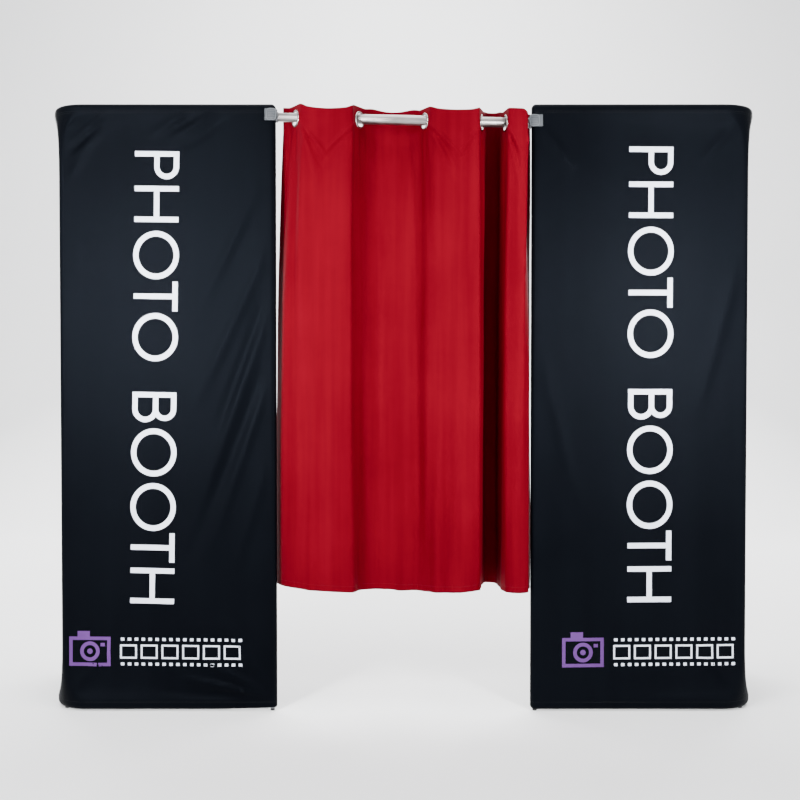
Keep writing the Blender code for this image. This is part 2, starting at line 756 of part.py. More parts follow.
def hermite(a, ta, b, tb, t):
    """Point on a cubic between two plan points with given tangents."""
    t2 = t * t
    t3 = t2 * t
    return (2 * t3 - 3 * t2 + 1) * a + (t3 - 2 * t2 + t) * ta + (3 * t2 - 2 * t3) * b + (t3 - t2) * tb


def head_path():
    """Plan line of the cloth at the rod: flat through each grommet, rounded in front and behind."""
    centres = [Vector((x, 0.0)) for x in GROMMET_X]
    points = [Vector((CURTAIN_LEFT_TOP, 0.046))]
    ends = []
    for i, centre in enumerate(centres):
        way = cloth_direction(i)
        ends.append((centre - HALF_FLAT * way, centre + HALF_FLAT * way, way))
    points.extend(curve(points[0], Vector((0.5, 0.1)), ends[0][0], ends[0][2], 5)[1:])
    for i, (start, finish, way) in enumerate(ends):
        if points[-1] != start:
            points.append(start)
        points.append(centres[i])
        points.append(finish)
        if i + 1 < len(ends):
            points.extend(curve(finish, way, ends[i + 1][0], ends[i + 1][2], 12)[1:-1])
    last = Vector((CURTAIN_RIGHT, 0.058))
    points.append(last)
    return points


def curve(a, way_a, b, way_b, steps):
    """Rounded plan line between two points that leaves and arrives along given directions."""
    pull = 1.15 * (b - a).length
    ta = unit(way_a) * pull
    tb = unit(way_b) * pull
    return [hermite(a, ta, b, tb, i / steps) for i in range(steps + 1)]


def hem_path():
    """Plan line of the cloth at the hem, a row of soft folds."""
    points = []
    steps = 160
    for i in range(steps + 1):
        x = CURTAIN_LEFT_HEM + (CURTAIN_RIGHT - CURTAIN_LEFT_HEM) * i / steps
        depth = sum(size * math.exp(-(((x - mid) / wide) ** 2)) for mid, wide, size in HEM_FOLDS)
        points.append(Vector((x, depth)))
    return points


def resample(points, fractions):
    """Points at given fractions of a line's length."""
    sums = [0.0]
    for a, b in zip(points[:-1], points[1:]):
        sums.append(sums[-1] + (b - a).length)
    result = []
    k = 0
    for fraction in fractions:
        want = fraction * sums[-1]
        while k < len(points) - 2 and sums[k + 1] < want:
            k += 1
        span = max(1e-9, sums[k + 1] - sums[k])
        result.append(points[k].lerp(points[k + 1], min(1.0, (want - sums[k]) / span)))
    return result


def head_fractions(points):
    """Column positions along the cloth that include both ends of every flat stretch."""
    sums = [0.0]
    for a, b in zip(points[:-1], points[1:]):
        sums.append(sums[-1] + (b - a).length)
    total = sums[-1]
    keys = [0.0]
    for i, x in enumerate(GROMMET_X):
        centre = Vector((x, 0.0))
        place = sums[min(range(len(points)), key=lambda k: (points[k] - centre).length)]
        keys.extend([place - HALF_FLAT, place, place + HALF_FLAT])
    keys.append(total)
    fractions = []
    for a, b in zip(keys[:-1], keys[1:]):
        parts = max(1, round((b - a) / total * CURTAIN_COLUMNS))
        fractions.extend((a + (b - a) * j / parts) / total for j in range(parts))
    fractions.append(1.0)
    return fractions


def make_curtain():
    """Pleated curtain as one thin closed sheet with a hole for each grommet."""
    head = head_path()
    fractions = head_fractions(head)
    top_line = resample(head, fractions)
    hem_line = resample(hem_path(), fractions)
    columns = len(fractions)
    verts = []
    fronts = []
    backs = []
    for drop in CURTAIN_LEVELS:
        line = []
        heights = []
        for a, b in zip(top_line, hem_line):
            top = rod_point(a.x).z + CURTAIN_HEADER
            fall = min(drop, CURTAIN_LENGTH)
            share = max(0.0, fall - HEAD_FLAT) / (CURTAIN_LENGTH - HEAD_FLAT)
            blend = 1.0 - (1.0 - share) ** 2.2
            line.append(a.lerp(b, blend))
            heights.append(top - fall)
        front, back = offset_line(line, heights, verts)
        fronts.append(front)
        backs.append(back)
    faces = []
    for sheet in (fronts, backs):
        for low, high in zip(sheet[:-1], sheet[1:]):
            for k in range(columns - 1):
                faces.append((low[k], low[k + 1], high[k + 1], high[k]))
    for k in range(columns - 1):
        faces.append((fronts[0][k], fronts[0][k + 1], backs[0][k + 1], backs[0][k]))
        faces.append((fronts[-1][k], fronts[-1][k + 1], backs[-1][k + 1], backs[-1][k]))
    for level in range(len(CURTAIN_LEVELS) - 1):
        for k in (0, columns - 1):
            faces.append((fronts[level][k], fronts[level + 1][k], backs[level + 1][k], backs[level][k]))
    curtain = solid("curtain", verts, faces, MATERIALS["curtain"], grommet_centre(5))
    for i in range(len(GROMMET_X)):
        way = cloth_direction(i)
        axis = (way.y, -way.x, 0.0)
        punch = cylinder("punch", grommet_centre(i), axis, CLOTH_HOLE_R, -0.004, 0.004, GROMMET_SIDES)
        boolean(curtain, punch, "DIFFERENCE")
    shade(curtain, 50.0)


def offset_line(line, heights, verts):
    """Add the front and back points of the cloth at one level and return their indices."""
    front = []
    back = []
    last = len(line) - 1
    for k, point in enumerate(line):
        way = unit(line[min(last, k + 1)] - line[max(0, k - 1)])
        normal = Vector((way.y, -way.x)) * (0.5 * CLOTH)
        front.append(len(verts))
        verts.append(Vector((point.x + normal.x, point.y + normal.y, heights[k])))
        back.append(len(verts))
        verts.append(Vector((point.x - normal.x, point.y - normal.y, heights[k])))
    return front, back


# ---------------------------------------------------------------- assembly

def centre_depth():
    """Slide everything along Y so that the whole object is centred on the origin."""
    low = 1e9
    high = -1e9
    for obj in bpy.data.objects:
        for vert in obj.data.vertices:
            y = obj.location.y + vert.co.y
            low = min(low, y)
            high = max(high, y)
    for obj in bpy.data.objects:
        obj.location.y -= 0.5 * (low + high)


clear_file()
MATERIALS = {
    "cover": material("cover_fabric", (0.016, 0.019, 0.024), 0.0, 0.75),
    "curtain": material("curtain_fabric", (0.42, 0.010, 0.016), 0.0, 0.80),
    "frame": material("frame_tube", (0.62, 0.63, 0.64), 1.0, 0.35),
    "rod": material("rod_tube", (0.70, 0.71, 0.72), 1.0, 0.28),
    "plastic": material("grey_plastic", (0.40, 0.42, 0.44), 0.0, 0.50),
    "rubber": material("foot_rubber", (0.05, 0.05, 0.055), 0.0, 0.80),
    "grommet": material("grommet_metal", (0.72, 0.73, 0.75), 1.0, 0.22),
    "steel": material("small_steel", (0.55, 0.55, 0.56), 1.0, 0.30),
}
make_wing("right", False)
make_wing("left", True)
make_rod()
make_clamp("right_clamp", 1.0)
make_clamp("left_clamp", -1.0)
for index in range(len(GROMMET_X)):
    make_grommet(index)
make_curtain()
centre_depth()
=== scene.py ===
"""Looks of the free-standing photo booth: stretch covers, print, curtain, rod and small metal parts."""

import json
import math

import bmesh
import bpy
import numpy as np
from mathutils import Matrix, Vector
from mathutils.bvhtree import BVHTree


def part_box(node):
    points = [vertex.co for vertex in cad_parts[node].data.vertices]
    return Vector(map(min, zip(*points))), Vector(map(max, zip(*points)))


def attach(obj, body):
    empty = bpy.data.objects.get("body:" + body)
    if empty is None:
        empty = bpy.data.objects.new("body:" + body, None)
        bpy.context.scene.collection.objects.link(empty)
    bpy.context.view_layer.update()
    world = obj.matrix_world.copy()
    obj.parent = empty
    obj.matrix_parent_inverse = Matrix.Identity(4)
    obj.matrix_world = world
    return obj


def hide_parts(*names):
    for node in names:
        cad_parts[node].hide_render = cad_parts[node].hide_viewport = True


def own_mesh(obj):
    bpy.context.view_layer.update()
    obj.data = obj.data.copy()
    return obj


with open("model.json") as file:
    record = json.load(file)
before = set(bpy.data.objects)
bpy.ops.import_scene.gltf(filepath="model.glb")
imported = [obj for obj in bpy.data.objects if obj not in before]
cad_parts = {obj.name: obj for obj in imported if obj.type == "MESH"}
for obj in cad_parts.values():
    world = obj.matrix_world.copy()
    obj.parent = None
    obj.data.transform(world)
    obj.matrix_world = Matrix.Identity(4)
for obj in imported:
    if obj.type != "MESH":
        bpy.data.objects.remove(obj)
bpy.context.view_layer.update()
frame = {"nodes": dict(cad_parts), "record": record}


# ---- places taken from the frame

def middle(node):
    """Centre of a CAD node's box."""
    low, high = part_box(node)
    return (Vector(low) + Vector(high)) / 2


INNER = middle("right_inner_post_lower")
CORNER = middle("right_corner_post_lower")
REAR = middle("right_rear_post_lower")
PLANE_Y = INNER.y
POST_LOW, POST_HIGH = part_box("right_inner_post_lower")
TUBE_R = (POST_HIGH[0] - POST_LOW[0]) / 2
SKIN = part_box("right_cover")[1][0] - REAR.x
RAIL_LOW = middle("right_bottom_side_rail").z
RAIL_TOP = middle("right_top_side_rail").z
BEND_R = 0.107
BEND = Vector((REAR.x - BEND_R, PLANE_Y + BEND_R))
DOOR_PT, CORNER_PT, REAR_PT = (np.array(post.xy) for post in (INNER, CORNER, REAR))
EAR_LENGTH = 0.05
EAR_START = 0.018

DRAW = next(j for j in frame["record"]["behaviour"]["joints"] if j["name"] == "curtain_draw")
ROD_DIR = Vector(DRAW["axis"])
RINGS = [middle("grommet_" + str(i + 1)) for i in range(6)]
RING_DEG = (62.0, 60.0, 65.0, 75.0, 80.0, 96.0)
RING_DROP = 0.0032
RING_OUTER = 0.03
RING_BORE = 0.023
THICK_R = 0.0172
THIN_R = 0.0155
TUBE_WALL = 0.0012
ROD_END = 0.4385
JOIN_X = -0.25
THIN_END = 0.25
CLAMP_RISE = 0.006


def rod_z(x):
    """Height of the rod's axis above a given x."""
    return RINGS[0].z + RING_DROP + (x - RINGS[0].x) * ROD_DIR.z / ROD_DIR.x


def rod_point(x):
    """Point of the rod's axis above a given x."""
    return Vector((x, PLANE_Y, rod_z(x)))


# ---- mesh helpers

def new_object(name, data):
    """Object linked into the scene."""
    obj = bpy.data.objects.new(name, data)
    bpy.context.scene.collection.objects.link(obj)
    return obj


def quads(rows, columns, close_rows=False, close_columns=False):
    """Faces of a grid of points, closed on itself where asked."""
    faces = []
    for r in range(rows if close_rows else rows - 1):
        low = r * columns
        high = (r + 1) % rows * columns
        for c in range(columns if close_columns else columns - 1):
            n = (c + 1) % columns
            faces.append((low + c, low + n, high + n, high + c))
    return faces


def mesh_object(name, verts, faces, mat, sharp=40.0):
    """Object from points and faces, welded and facing outwards; flat where sharp is None."""
    mesh = bpy.data.meshes.new(name)
    mesh.from_pydata([tuple(v) for v in verts], [], [tuple(f) for f in faces])
    bm = bmesh.new()
    bm.from_mesh(mesh)
    bmesh.ops.remove_doubles(bm, verts=bm.verts[:], dist=1e-5)
    bmesh.ops.recalc_face_normals(bm, faces=bm.faces[:])
    bm.to_mesh(mesh)
    bm.free()
    mesh.materials.append(mat)
    if sharp is not None:
        mesh.shade_smooth()
        mesh.set_sharp_from_angle(angle=math.radians(sharp))
    return new_object(name, mesh)


def apply_modifiers(obj):
    """Bake an object's modifiers into its mesh."""
    bpy.context.view_layer.update()
    graph = bpy.context.evaluated_depsgraph_get()
    result = bpy.data.meshes.new_from_object(obj.evaluated_get(graph))
    obj.modifiers.clear()
    old = obj.data
    obj.data = result
    bpy.data.meshes.remove(old)


def join(name, objects):
    """Merge mesh objects into one, keeping their materials."""
    bm = bmesh.new()
    mats = []
    for obj in objects:
        start = len(bm.faces)
        bm.from_mesh(obj.data)
        bm.faces.ensure_lookup_table()
        slots = []
        for mat in obj.data.materials:
            if mat not in mats:
                mats.append(mat)
            slots.append(mats.index(mat))
        for face in bm.faces[start:]:
            face.material_index = slots[face.material_index]
    mesh = bpy.data.meshes.new(name)
    bm.to_mesh(mesh)
    bm.free()
    for mat in mats:
        mesh.materials.append(mat)
    for obj in objects:
        old = obj.data
        bpy.data.objects.remove(obj, do_unlink=True)
        bpy.data.meshes.remove(old)
    return new_object(name, mesh)


def lathe(name, profile, centre, axis, mat, sides=64, sharp=40.0):
    """Turned body from a closed (radius, height) profile."""
    turn = Vector(axis).normalized().to_track_quat("Z", "Y").to_matrix()
    verts = []
    for radius, height in profile:
        for i in range(sides):
            angle = 2.0 * math.pi * i / sides
            local = Vector((radius * math.cos(angle), radius * math.sin(angle), height))
            verts.append(turn @ local + Vector(centre))
    return mesh_object(name, verts, quads(len(profile), sides, True, True), mat, sharp)


# ---- materials

def blank_material(name):
    """New node material, its tree, shader and object coordinates."""
    mat = bpy.data.materials.new(name)
    mat.use_nodes = True
    tree = mat.node_tree
    return mat, tree, tree.nodes["Principled BSDF"], add(tree, "ShaderNodeTexCoord").outputs["Object"]


def add(tree, kind, **values):
    """New node with input sockets or settings given by name."""
    node = tree.nodes.new(kind)
    for key, value in values.items():
        if hasattr(node, key):
            setattr(node, key, value)
        else:
            node.inputs[key.replace("_", " ")].default_value = value
    return node


def noise(tree, coords, scale, detail=3.0, roughness=0.5, stretch=(1.0, 1.0, 1.0)):
    """Noise pattern, optionally stretched."""
    mapping = add(tree, "ShaderNodeMapping", Scale=stretch)
    tree.links.new(coords, mapping.inputs["Vector"])
    node = add(tree, "ShaderNodeTexNoise", Scale=scale, Detail=detail, Roughness=roughness)
    tree.links.new(mapping.outputs["Vector"], node.inputs["Vector"])
    return node.outputs["Fac"]


def wave(tree, coords, direction, period):
    """Fine parallel threads along one direction."""
    node = add(tree, "ShaderNodeTexWave", bands_direction=direction, Scale=math.pi / (10.0 * period))
    tree.links.new(coords, node.inputs["Vector"])
    return node.outputs["Fac"]


def ramp(tree, factor, low, high, start=0.3, end=0.7):
    """Colour from low to high as the factor rises."""
    node = add(tree, "ShaderNodeValToRGB")
    for stop, place, colour in zip(node.color_ramp.elements, (start, end), (low, high)):
        stop.position = place
        stop.color = (*colour, 1.0)
    tree.links.new(factor, node.inputs["Fac"])
    return node.outputs["Color"]


def span(tree, factor, low, high):
    """Number from low to high as the factor goes from 0.3 to 0.7."""
    node = add(tree, "ShaderNodeMapRange", From_Min=0.3, From_Max=0.7, To_Min=low, To_Max=high)
    tree.links.new(factor, node.inputs["Value"])
    return node.outputs["Result"]


def combine(tree, a, b, operation="ADD"):
    """Sum or product of two patterns."""
    node = add(tree, "ShaderNodeMath", operation=operation)
    tree.links.new(a, node.inputs[0])
    tree.links.new(b, node.inputs[1])
    return node.outputs["Value"]


def bump(tree, height, strength, distance, below=None):
    """Bump from a height pattern, stacked on another if given."""
    node = add(tree, "ShaderNodeBump", Strength=strength, Distance=distance)
    tree.links.new(height, node.inputs["Height"])
    if below is not None:
        tree.links.new(below, node.inputs["Normal"])
    return node.outputs["Normal"]


def cloth_material(name, low, high, rough, sheen, tint, thread, mottle, streak, gloss=0.15):
    """Cloth with threads, soft mottling, streaks along the drop and a sheen."""
    mat, tree, shader, coords = blank_material(name)
    patches = noise(tree, coords, mottle, 4.0, 0.55)
    streaks = noise(tree, coords, streak, 3.0, 0.6, (1.0, 1.0, 0.04))
    mixed = combine(tree, patches, streaks)
    half = add(tree, "ShaderNodeMath", operation="MULTIPLY")
    half.inputs[1].default_value = 0.5
    tree.links.new(mixed, half.inputs[0])
    tree.links.new(ramp(tree, half.outputs["Value"], low, high, 0.38, 0.62), shader.inputs["Base Color"])
    tree.links.new(span(tree, patches, rough - 0.06, rough + 0.06), shader.inputs["Roughness"])
    threads = combine(tree, wave(tree, coords, "X", thread), wave(tree, coords, "Z", thread), "MULTIPLY")
    soft = bump(tree, patches, 0.25, 0.002)
    woven = bump(tree, threads, 0.35, thread * 0.35, soft)
    tree.links.new(woven, shader.inputs["Normal"])
    shader.inputs["Sheen Weight"].default_value = sheen
    shader.inputs["Sheen Roughness"].default_value = 0.35
    shader.inputs["Specular IOR Level"].default_value = gloss
    for socket in ("Sheen Tint", "Specular Tint"):
        shader.inputs[socket].default_value = (*tint, 1.0)
    return mat


def metal_material(name, low, high, rough, grain):
    """Metal with brushed grain and smudges."""
    mat, tree, shader, coords = blank_material(name)
    smudge = noise(tree, coords, 14.0, 4.0, 0.6)
    lines = noise(tree, coords, grain, 2.0, 0.6, (0.02, 1.0, 1.0))
    tree.links.new(ramp(tree, smudge, low, high), shader.inputs["Base Color"])
    tree.links.new(span(tree, smudge, rough - 0.05, rough + 0.07), shader.inputs["Roughness"])
    tree.links.new(bump(tree, lines, 0.12, 0.0002), shader.inputs["Normal"])
    shader.inputs["Metallic"].default_value = 1.0
    return mat


def plastic_material(name, low, high, rough):
    """Moulded plastic with fine grain and light wear."""
    mat, tree, shader, coords = blank_material(name)
    wear = noise(tree, coords, 22.0, 5.0, 0.6)
    grain = noise(tree, coords, 1400.0, 2.0, 0.5)
    tree.links.new(ramp(tree, wear, low, high), shader.inputs["Base Color"])
    tree.links.new(span(tree, wear, rough - 0.06, rough + 0.08), shader.inputs["Roughness"])
    tree.links.new(bump(tree, grain, 0.15, 0.0002), shader.inputs["Normal"])
    return mat


MATS = {
    "cover": cloth_material(
        "black_stretch", (0.0009, 0.0011, 0.0018), (0.0015, 0.0019, 0.0029), 0.43, 0.0006,
        (0.64, 0.78, 1.0), 0.0009, 2.2, 7.0, 0.022,
    ),
    "print": cloth_material(
        "white_print", (0.6, 0.64, 0.74), (0.68, 0.72, 0.82), 0.62, 0.02,
        (1.0, 1.0, 1.0), 0.0009, 3.0, 9.0,
    ),
    "accent": cloth_material(
        "purple_print", (0.066, 0.022, 0.115), (0.086, 0.03, 0.148), 0.6, 0.02,
        (0.9, 0.7, 1.0), 0.0009, 3.0, 9.0,
    ),
    "curtain": cloth_material(
        "red_cloth", (0.08, 0.0004, 0.004), (0.106, 0.0009, 0.0057), 0.72, 0.006,
        (1.0, 0.25, 0.3), 0.0007, 3.0, 26.0, 0.03,
    ),
    "thread": plastic_material("red_thread", (0.1, 0.0006, 0.002), (0.15, 0.001, 0.003), 0.7),
    "black_thread": plastic_material("black_thread", (0.004, 0.0045, 0.005), (0.007, 0.0075, 0.009), 0.65),
    # Rod metal: aluminium grey with a warm tint that is a painted reflection of the red curtain.
    "rod": metal_material("rod_aluminium_painted_reflection", (0.215, 0.204, 0.2), (0.295, 0.28, 0.274), 0.36, 900.0),
    "frame": metal_material("frame_aluminium", (0.34, 0.345, 0.35), (0.42, 0.425, 0.43), 0.38, 700.0),
    "ring": metal_material("grommet_nickel", (0.42, 0.4, 0.38), (0.52, 0.5, 0.48), 0.22, 500.0),
    "steel": metal_material("plated_steel", (0.28, 0.28, 0.3), (0.36, 0.36, 0.38), 0.28, 600.0),
    "clamp": plastic_material("clamp_grey", (0.025, 0.029, 0.034), (0.038, 0.044, 0.052), 0.54),
    "rim": plastic_material("clamp_rim", (0.05, 0.056, 0.064), (0.068, 0.076, 0.085), 0.5),
    "collar": plastic_material("collar_grey", (0.06, 0.064, 0.07), (0.085, 0.09, 0.095), 0.45),
    "connector": plastic_material("connector_grey", (0.11, 0.115, 0.125), (0.15, 0.155, 0.165), 0.5),
    "rubber": plastic_material("foot_rubber", (0.012, 0.012, 0.013), (0.02, 0.02, 0.022), 0.75),
}


# ---- covers

def arc(centre, radius, start, turn, steps):
    """Plan points along an arc, both ends included."""
    angles = start + turn * np.linspace(0.0, 1.0, steps + 1)
    return np.array(centre) + radius * np.stack([np.cos(angles), np.sin(angles)], axis=1)


def unit(vector):
    """Unit copy of a plan vector."""
    return vector / np.linalg.norm(vector)


def outward(direction):
    """Plan normal on the outer side of a path from door to rear."""
    return np.array((direction[1], -direction[0]))


def line(a, b, steps):
    """Points from a to b without either end."""
    shares = np.linspace(0.0, 1.0, steps + 1)[1:-1, None]
    return a * (1.0 - shares) + b * shares


BEND_STEPS = 18
CAP_STEPS = 12
FRONT_STEPS = 60
SIDE_STEPS = 34


def bend_points(half, taut, outer):
    """Plan points round the bend, between the loose and the taut shape."""
    front = outward(unit(CORNER_PT - DOOR_PT))
    side = outward(unit(REAR_PT - CORNER_PT))
    start = math.atan2(front[1], front[0])
    turn = math.atan2(side[1], side[0]) - start
    if outer:
        loose = arc(BEND, BEND_R + half, -0.5 * math.pi, 0.5 * math.pi, BEND_STEPS)
        tight = arc(CORNER_PT, half, start, turn, BEND_STEPS)
    else:
        small = 0.012
        pivot = CORNER_PT - (front + side) / (1.0 + front @ side) * (half + small)
        loose = arc(BEND, BEND_R - half, -0.5 * math.pi, 0.5 * math.pi, BEND_STEPS)
        tight = arc(pivot, small, start, turn, BEND_STEPS)
    return loose * (1.0 - taut) + tight * taut


def plan_loop(half, taut):
    """Closed plan outline of the covered wing at one height."""
    outer = bend_points(half, taut, True)
    inner = bend_points(half, taut, False)
    front = outward(unit((CORNER_PT - DOOR_PT) * taut + np.array((1.0, 0.0)) * (1.0 - taut)))
    side = outward(unit((REAR_PT - CORNER_PT) * taut + np.array((0.0, 1.0)) * (1.0 - taut)))
    door = arc(DOOR_PT, half, math.atan2(-front[1], -front[0]), math.pi, CAP_STEPS)
    rear = arc(REAR_PT, half, math.atan2(side[1], side[0]), math.pi, CAP_STEPS)
    parts = [
        door, line(door[-1], outer[0], FRONT_STEPS), outer, line(outer[-1], rear[0], SIDE_STEPS),
        rear, line(rear[-1], inner[-1], SIDE_STEPS), inner[::-1], line(inner[0], door[0], FRONT_STEPS),
    ]
    return np.concatenate(parts)


def tautness(rise):
    """Share by which the cloth has gone straight at a distance from the bent rail."""
    fade = min(1.0, max(0.0, (rise - 0.14) / 0.09))
    free = 1.0 - math.exp(-max(0.0, rise - EAR_START) / EAR_LENGTH)
    return free * (1.0 - fade) + fade


def cover_levels():
    """(height, half thickness, tautness) from the bottom up."""
    angles = [math.radians(d) for d in (80.0, 66.0, 52.0, 38.0, 25.0, 12.0, 0.0)]
    levels = [(RAIL_LOW - SKIN * math.sin(a), SKIN * math.cos(a), 0.0) for a in angles]
    count = 166
    for i in range(1, count):
        z = RAIL_LOW + (RAIL_TOP - RAIL_LOW) * i / count
        levels.append((z, SKIN, tautness(min(z - RAIL_LOW, RAIL_TOP - z))))
    return levels + [(RAIL_TOP + SKIN * math.sin(a), SKIN * math.cos(a), 0.0) for a in reversed(angles)]


def crease(x, z, start, end, width, height):
    """Soft ridge along a line that fades at both ends."""
    ax, az = start
    dx = end[0] - ax
    dz = end[1] - az
    length = math.hypot(dx, dz)
    along = ((x - ax) * dx + (z - az) * dz) / (length * length)
    across = ((x - ax) * dz - (z - az) * dx) / length
    inside = np.clip(along, 0.0, 1.0)
    fade = np.sin(np.pi * inside) ** 0.7 * ((along > 0.0) & (along < 1.0))
    return height * fade * np.exp(-((across / width) ** 2))


CREASE_GAIN = 2.0
WAIST_Z = 1.25
WAIST_SPREAD = 0.42
LEFT_LIFT = 0.0095
COVER_STITCH = (0.0046, 0.0034, 0.00035)

# Creases of the front faces, as (start, end, half width, height), with X away from the booth's middle.
LEFT_CREASES = (
    ((1.13, 2.11), (1.2, 2.05), 0.007, 0.004), ((1.035, 2.104), (1.17, 2.004), 0.008, 0.0046),
    ((1.06, 2.078), (1.185, 1.965), 0.009, -0.004), ((1.05, 2.046), (1.18, 1.93), 0.01, 0.0042),
    ((1.1, 1.98), (1.19, 1.87), 0.012, 0.0034), ((0.64, 2.112), (0.83, 2.0), 0.009, 0.0046),
    ((0.7, 2.104), (0.83, 2.036), 0.008, -0.0036), ((0.61, 2.088), (0.77, 1.98), 0.01, -0.004),
    ((0.74, 2.112), (0.9, 2.02), 0.01, 0.0036), ((0.5, 1.86), (0.72, 1.4), 0.016, 0.0034),
    ((0.47, 1.64), (0.74, 1.06), 0.018, 0.0044), ((0.47, 1.5), (0.66, 0.98), 0.014, -0.0042),
    ((0.475, 1.4), (0.7, 0.76), 0.017, 0.0052), ((0.48, 1.24), (0.76, 0.52), 0.019, -0.005),
    ((0.48, 1.16), (0.68, 0.56), 0.014, 0.0044), ((0.47, 0.9), (0.6, 0.48), 0.015, 0.0036),
    ((0.46, 0.05), (0.8, 0.12), 0.009, 0.0058), ((0.465, 0.06), (0.74, 0.19), 0.013, 0.0048),
    ((0.47, 0.045), (0.86, 0.07), 0.008, -0.0042), ((0.48, 0.09), (0.65, 0.33), 0.016, 0.0036),
    ((1.18, 0.06), (1.02, 0.23), 0.014, 0.0034),
)
RIGHT_CREASES = (
    ((0.85, 0.05), (1.2, 0.044), 0.008, 0.0036), ((1.175, 2.08), (1.04, 1.93), 0.014, 0.0028),
    ((0.48, 2.06), (0.6, 1.9), 0.014, 0.0026), ((1.175, 0.07), (1.03, 0.24), 0.016, 0.003),
    ((0.47, 1.3), (0.62, 0.7), 0.022, 0.0022), ((1.18, 1.6), (1.02, 1.0), 0.026, 0.0024),
)
BACK_CREASES = (
    ((0.52, 2.06), (0.78, 1.7), 0.022, 0.0022), ((1.12, 2.07), (0.9, 1.76), 0.022, 0.002),
    ((0.54, 0.08), (0.8, 0.42), 0.02, 0.0022), ((1.12, 0.09), (0.88, 0.4), 0.02, -0.0018),
    ((0.6, 1.3), (0.9, 0.8), 0.03, 0.0016),
)


def free_span(x, y, z):
    """1 in the open bays of the frame and 0 where the cloth lies on a tube."""
    gap = np.minimum(np.abs(x - INNER.x), np.hypot(x - CORNER.x, y - CORNER.y))
    gap = np.minimum(gap, np.hypot(x - REAR.x, y - REAR.y))
    gap = np.minimum(gap, np.minimum(z - RAIL_LOW, RAIL_TOP - z))
    return np.clip((gap - TUBE_R) / 0.05, 0.0, 1.0)


def cover_relief(x, y, z, is_front, is_outer, creases, seed, pull):
    """Height of the cloth above its taut shape."""
    free = free_span(x, y, z)
    broad = 0.0009 * np.sin(9.0 * x + 2.1 * z + seed) * np.sin(3.1 * z - 4.0 * x + 2.0 * seed)
    relief = (broad + 0.0006 * np.sin(21.0 * y + 5.0 * z + seed)) * free
    face = is_front * is_outer * np.clip(free * 3.0, 0.0, 1.0)
    for item in creases:
        relief = relief + CREASE_GAIN * crease(x, z, *item) * face
    for item in BACK_CREASES:
        relief = relief + crease(x, z, *item) * is_front * (1 - is_outer) * free
    waist = np.exp(-(((z - WAIST_Z) / WAIST_SPREAD) ** 2))
    return relief - pull * waist * (1 - is_front) * is_outer * free


def make_cover(side, creases, lift):
    """Dense cover of one wing: rolled edges, flared corners, creases and foot openings."""
    sign = 1.0 if side == "right" else -1.0
    levels = cover_levels()
    plan = np.stack([plan_loop(half, taut) for _, half, taut in levels])
    rows, columns = plan.shape[:2]
    heights = np.array([level[0] for level in levels])
    z = np.repeat(heights[:, None], columns, axis=1)
    x = plan[..., 0]
    y = plan[..., 1]
    step = np.roll(plan, -1, axis=1) - np.roll(plan, 1, axis=1)
    normal = unit_rows(np.stack([step[..., 1], -step[..., 0]], axis=-1))
    index = np.arange(columns)
    outer_end = CAP_STEPS + FRONT_STEPS + BEND_STEPS + SIDE_STEPS + CAP_STEPS // 2
    is_outer = ((index > CAP_STEPS // 2) & (index < outer_end)).astype(float)[None, :]
    is_front = (x < CORNER.x - 0.01).astype(float) * (np.abs(normal[..., 1]) > 0.7)
    seed, pull = (1.0, 0.0035) if side == "right" else (2.6, 0.0075)
    body = np.array([1.0 if half > 0.999 * SKIN else 0.0 for _, half, _ in levels])[:, None]
    relief = cover_relief(x, y, z, is_front, is_outer, creases, seed, pull) * body
    x = x + normal[..., 0] * relief
    y = y + normal[..., 1] * relief
    if lift > 0.0:
        run = np.clip((x - INNER.x + SKIN) / 0.19, 0.0, 1.0)
        near = (1.0 - run) ** 0.8 * (y < PLANE_Y + 0.03)
        z = np.maximum(z, z.min() + lift * near)
    grid = np.stack([sign * x, y, z], axis=-1)
    verts = grid.reshape(-1, 3)
    faces = quads(rows, columns, False, True)
    faces.extend(strip(0, columns, CAP_STEPS // 2, verts, True, sign))
    faces.extend(strip((rows - 1) * columns, columns, CAP_STEPS // 2, verts, False, sign))
    cover = mesh_object(side + "_stretch_cover", verts, faces, MATS["cover"], 70.0)
    away = np.stack([sign * normal[..., 0], normal[..., 1], np.zeros_like(x)], axis=-1)
    make_seams(side, grid, away, heights)
    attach(cover, side + "_wing")
    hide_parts(side + "_cover")
    return cover


def make_seams(side, grid, away, heights):
    """Stitching round the top and bottom edges of one cover."""
    verts = []
    faces = []
    for height in (RAIL_TOP - 0.01, RAIL_TOP - 0.016, RAIL_LOW + 0.012):
        row = int(np.argmin(np.abs(heights - height)))
        points = grid[row] + np.array((0.0, 0.0, height - heights[row])) + away[row] * 0.0002
        loop = np.concatenate([points, points[:1]])
        stitch_row(loop, np.concatenate([away[row], away[row][:1]]), COVER_STITCH, verts, faces)
    seams = mesh_object(side + "_cover_seams", verts, faces, MATS["black_thread"], None)
    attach(seams, side + "_wing")


def strip(base, columns, first, verts, open_feet, sign):
    """Faces that close the bottom or top, open around the feet and under the raised corner."""
    faces = []
    feet = [(sign * p.x, p.y) for p in (INNER, CORNER, REAR)]
    lowest = verts[:, 2].min()
    for i in range(columns // 2):
        a = base + (first + i) % columns
        b = base + (first + i + 1) % columns
        c = base + (first - i - 1) % columns
        d = base + (first - i) % columns
        mid = (verts[a] + verts[b] + verts[c] + verts[d]) / 4
        if open_feet and min(math.hypot(mid[0] - f[0], mid[1] - f[1]) for f in feet) < 0.017:
            continue
        if open_feet and mid[2] > lowest + 0.0005:
            continue
        loop = list(dict.fromkeys((a, b, c, d)))
        if len(loop) > 2:
            faces.append(loop)
    return faces


# ---- printed words and pictogram

LETTER_H = 0.156
STROKE = 0.0185
CELL = 0.008


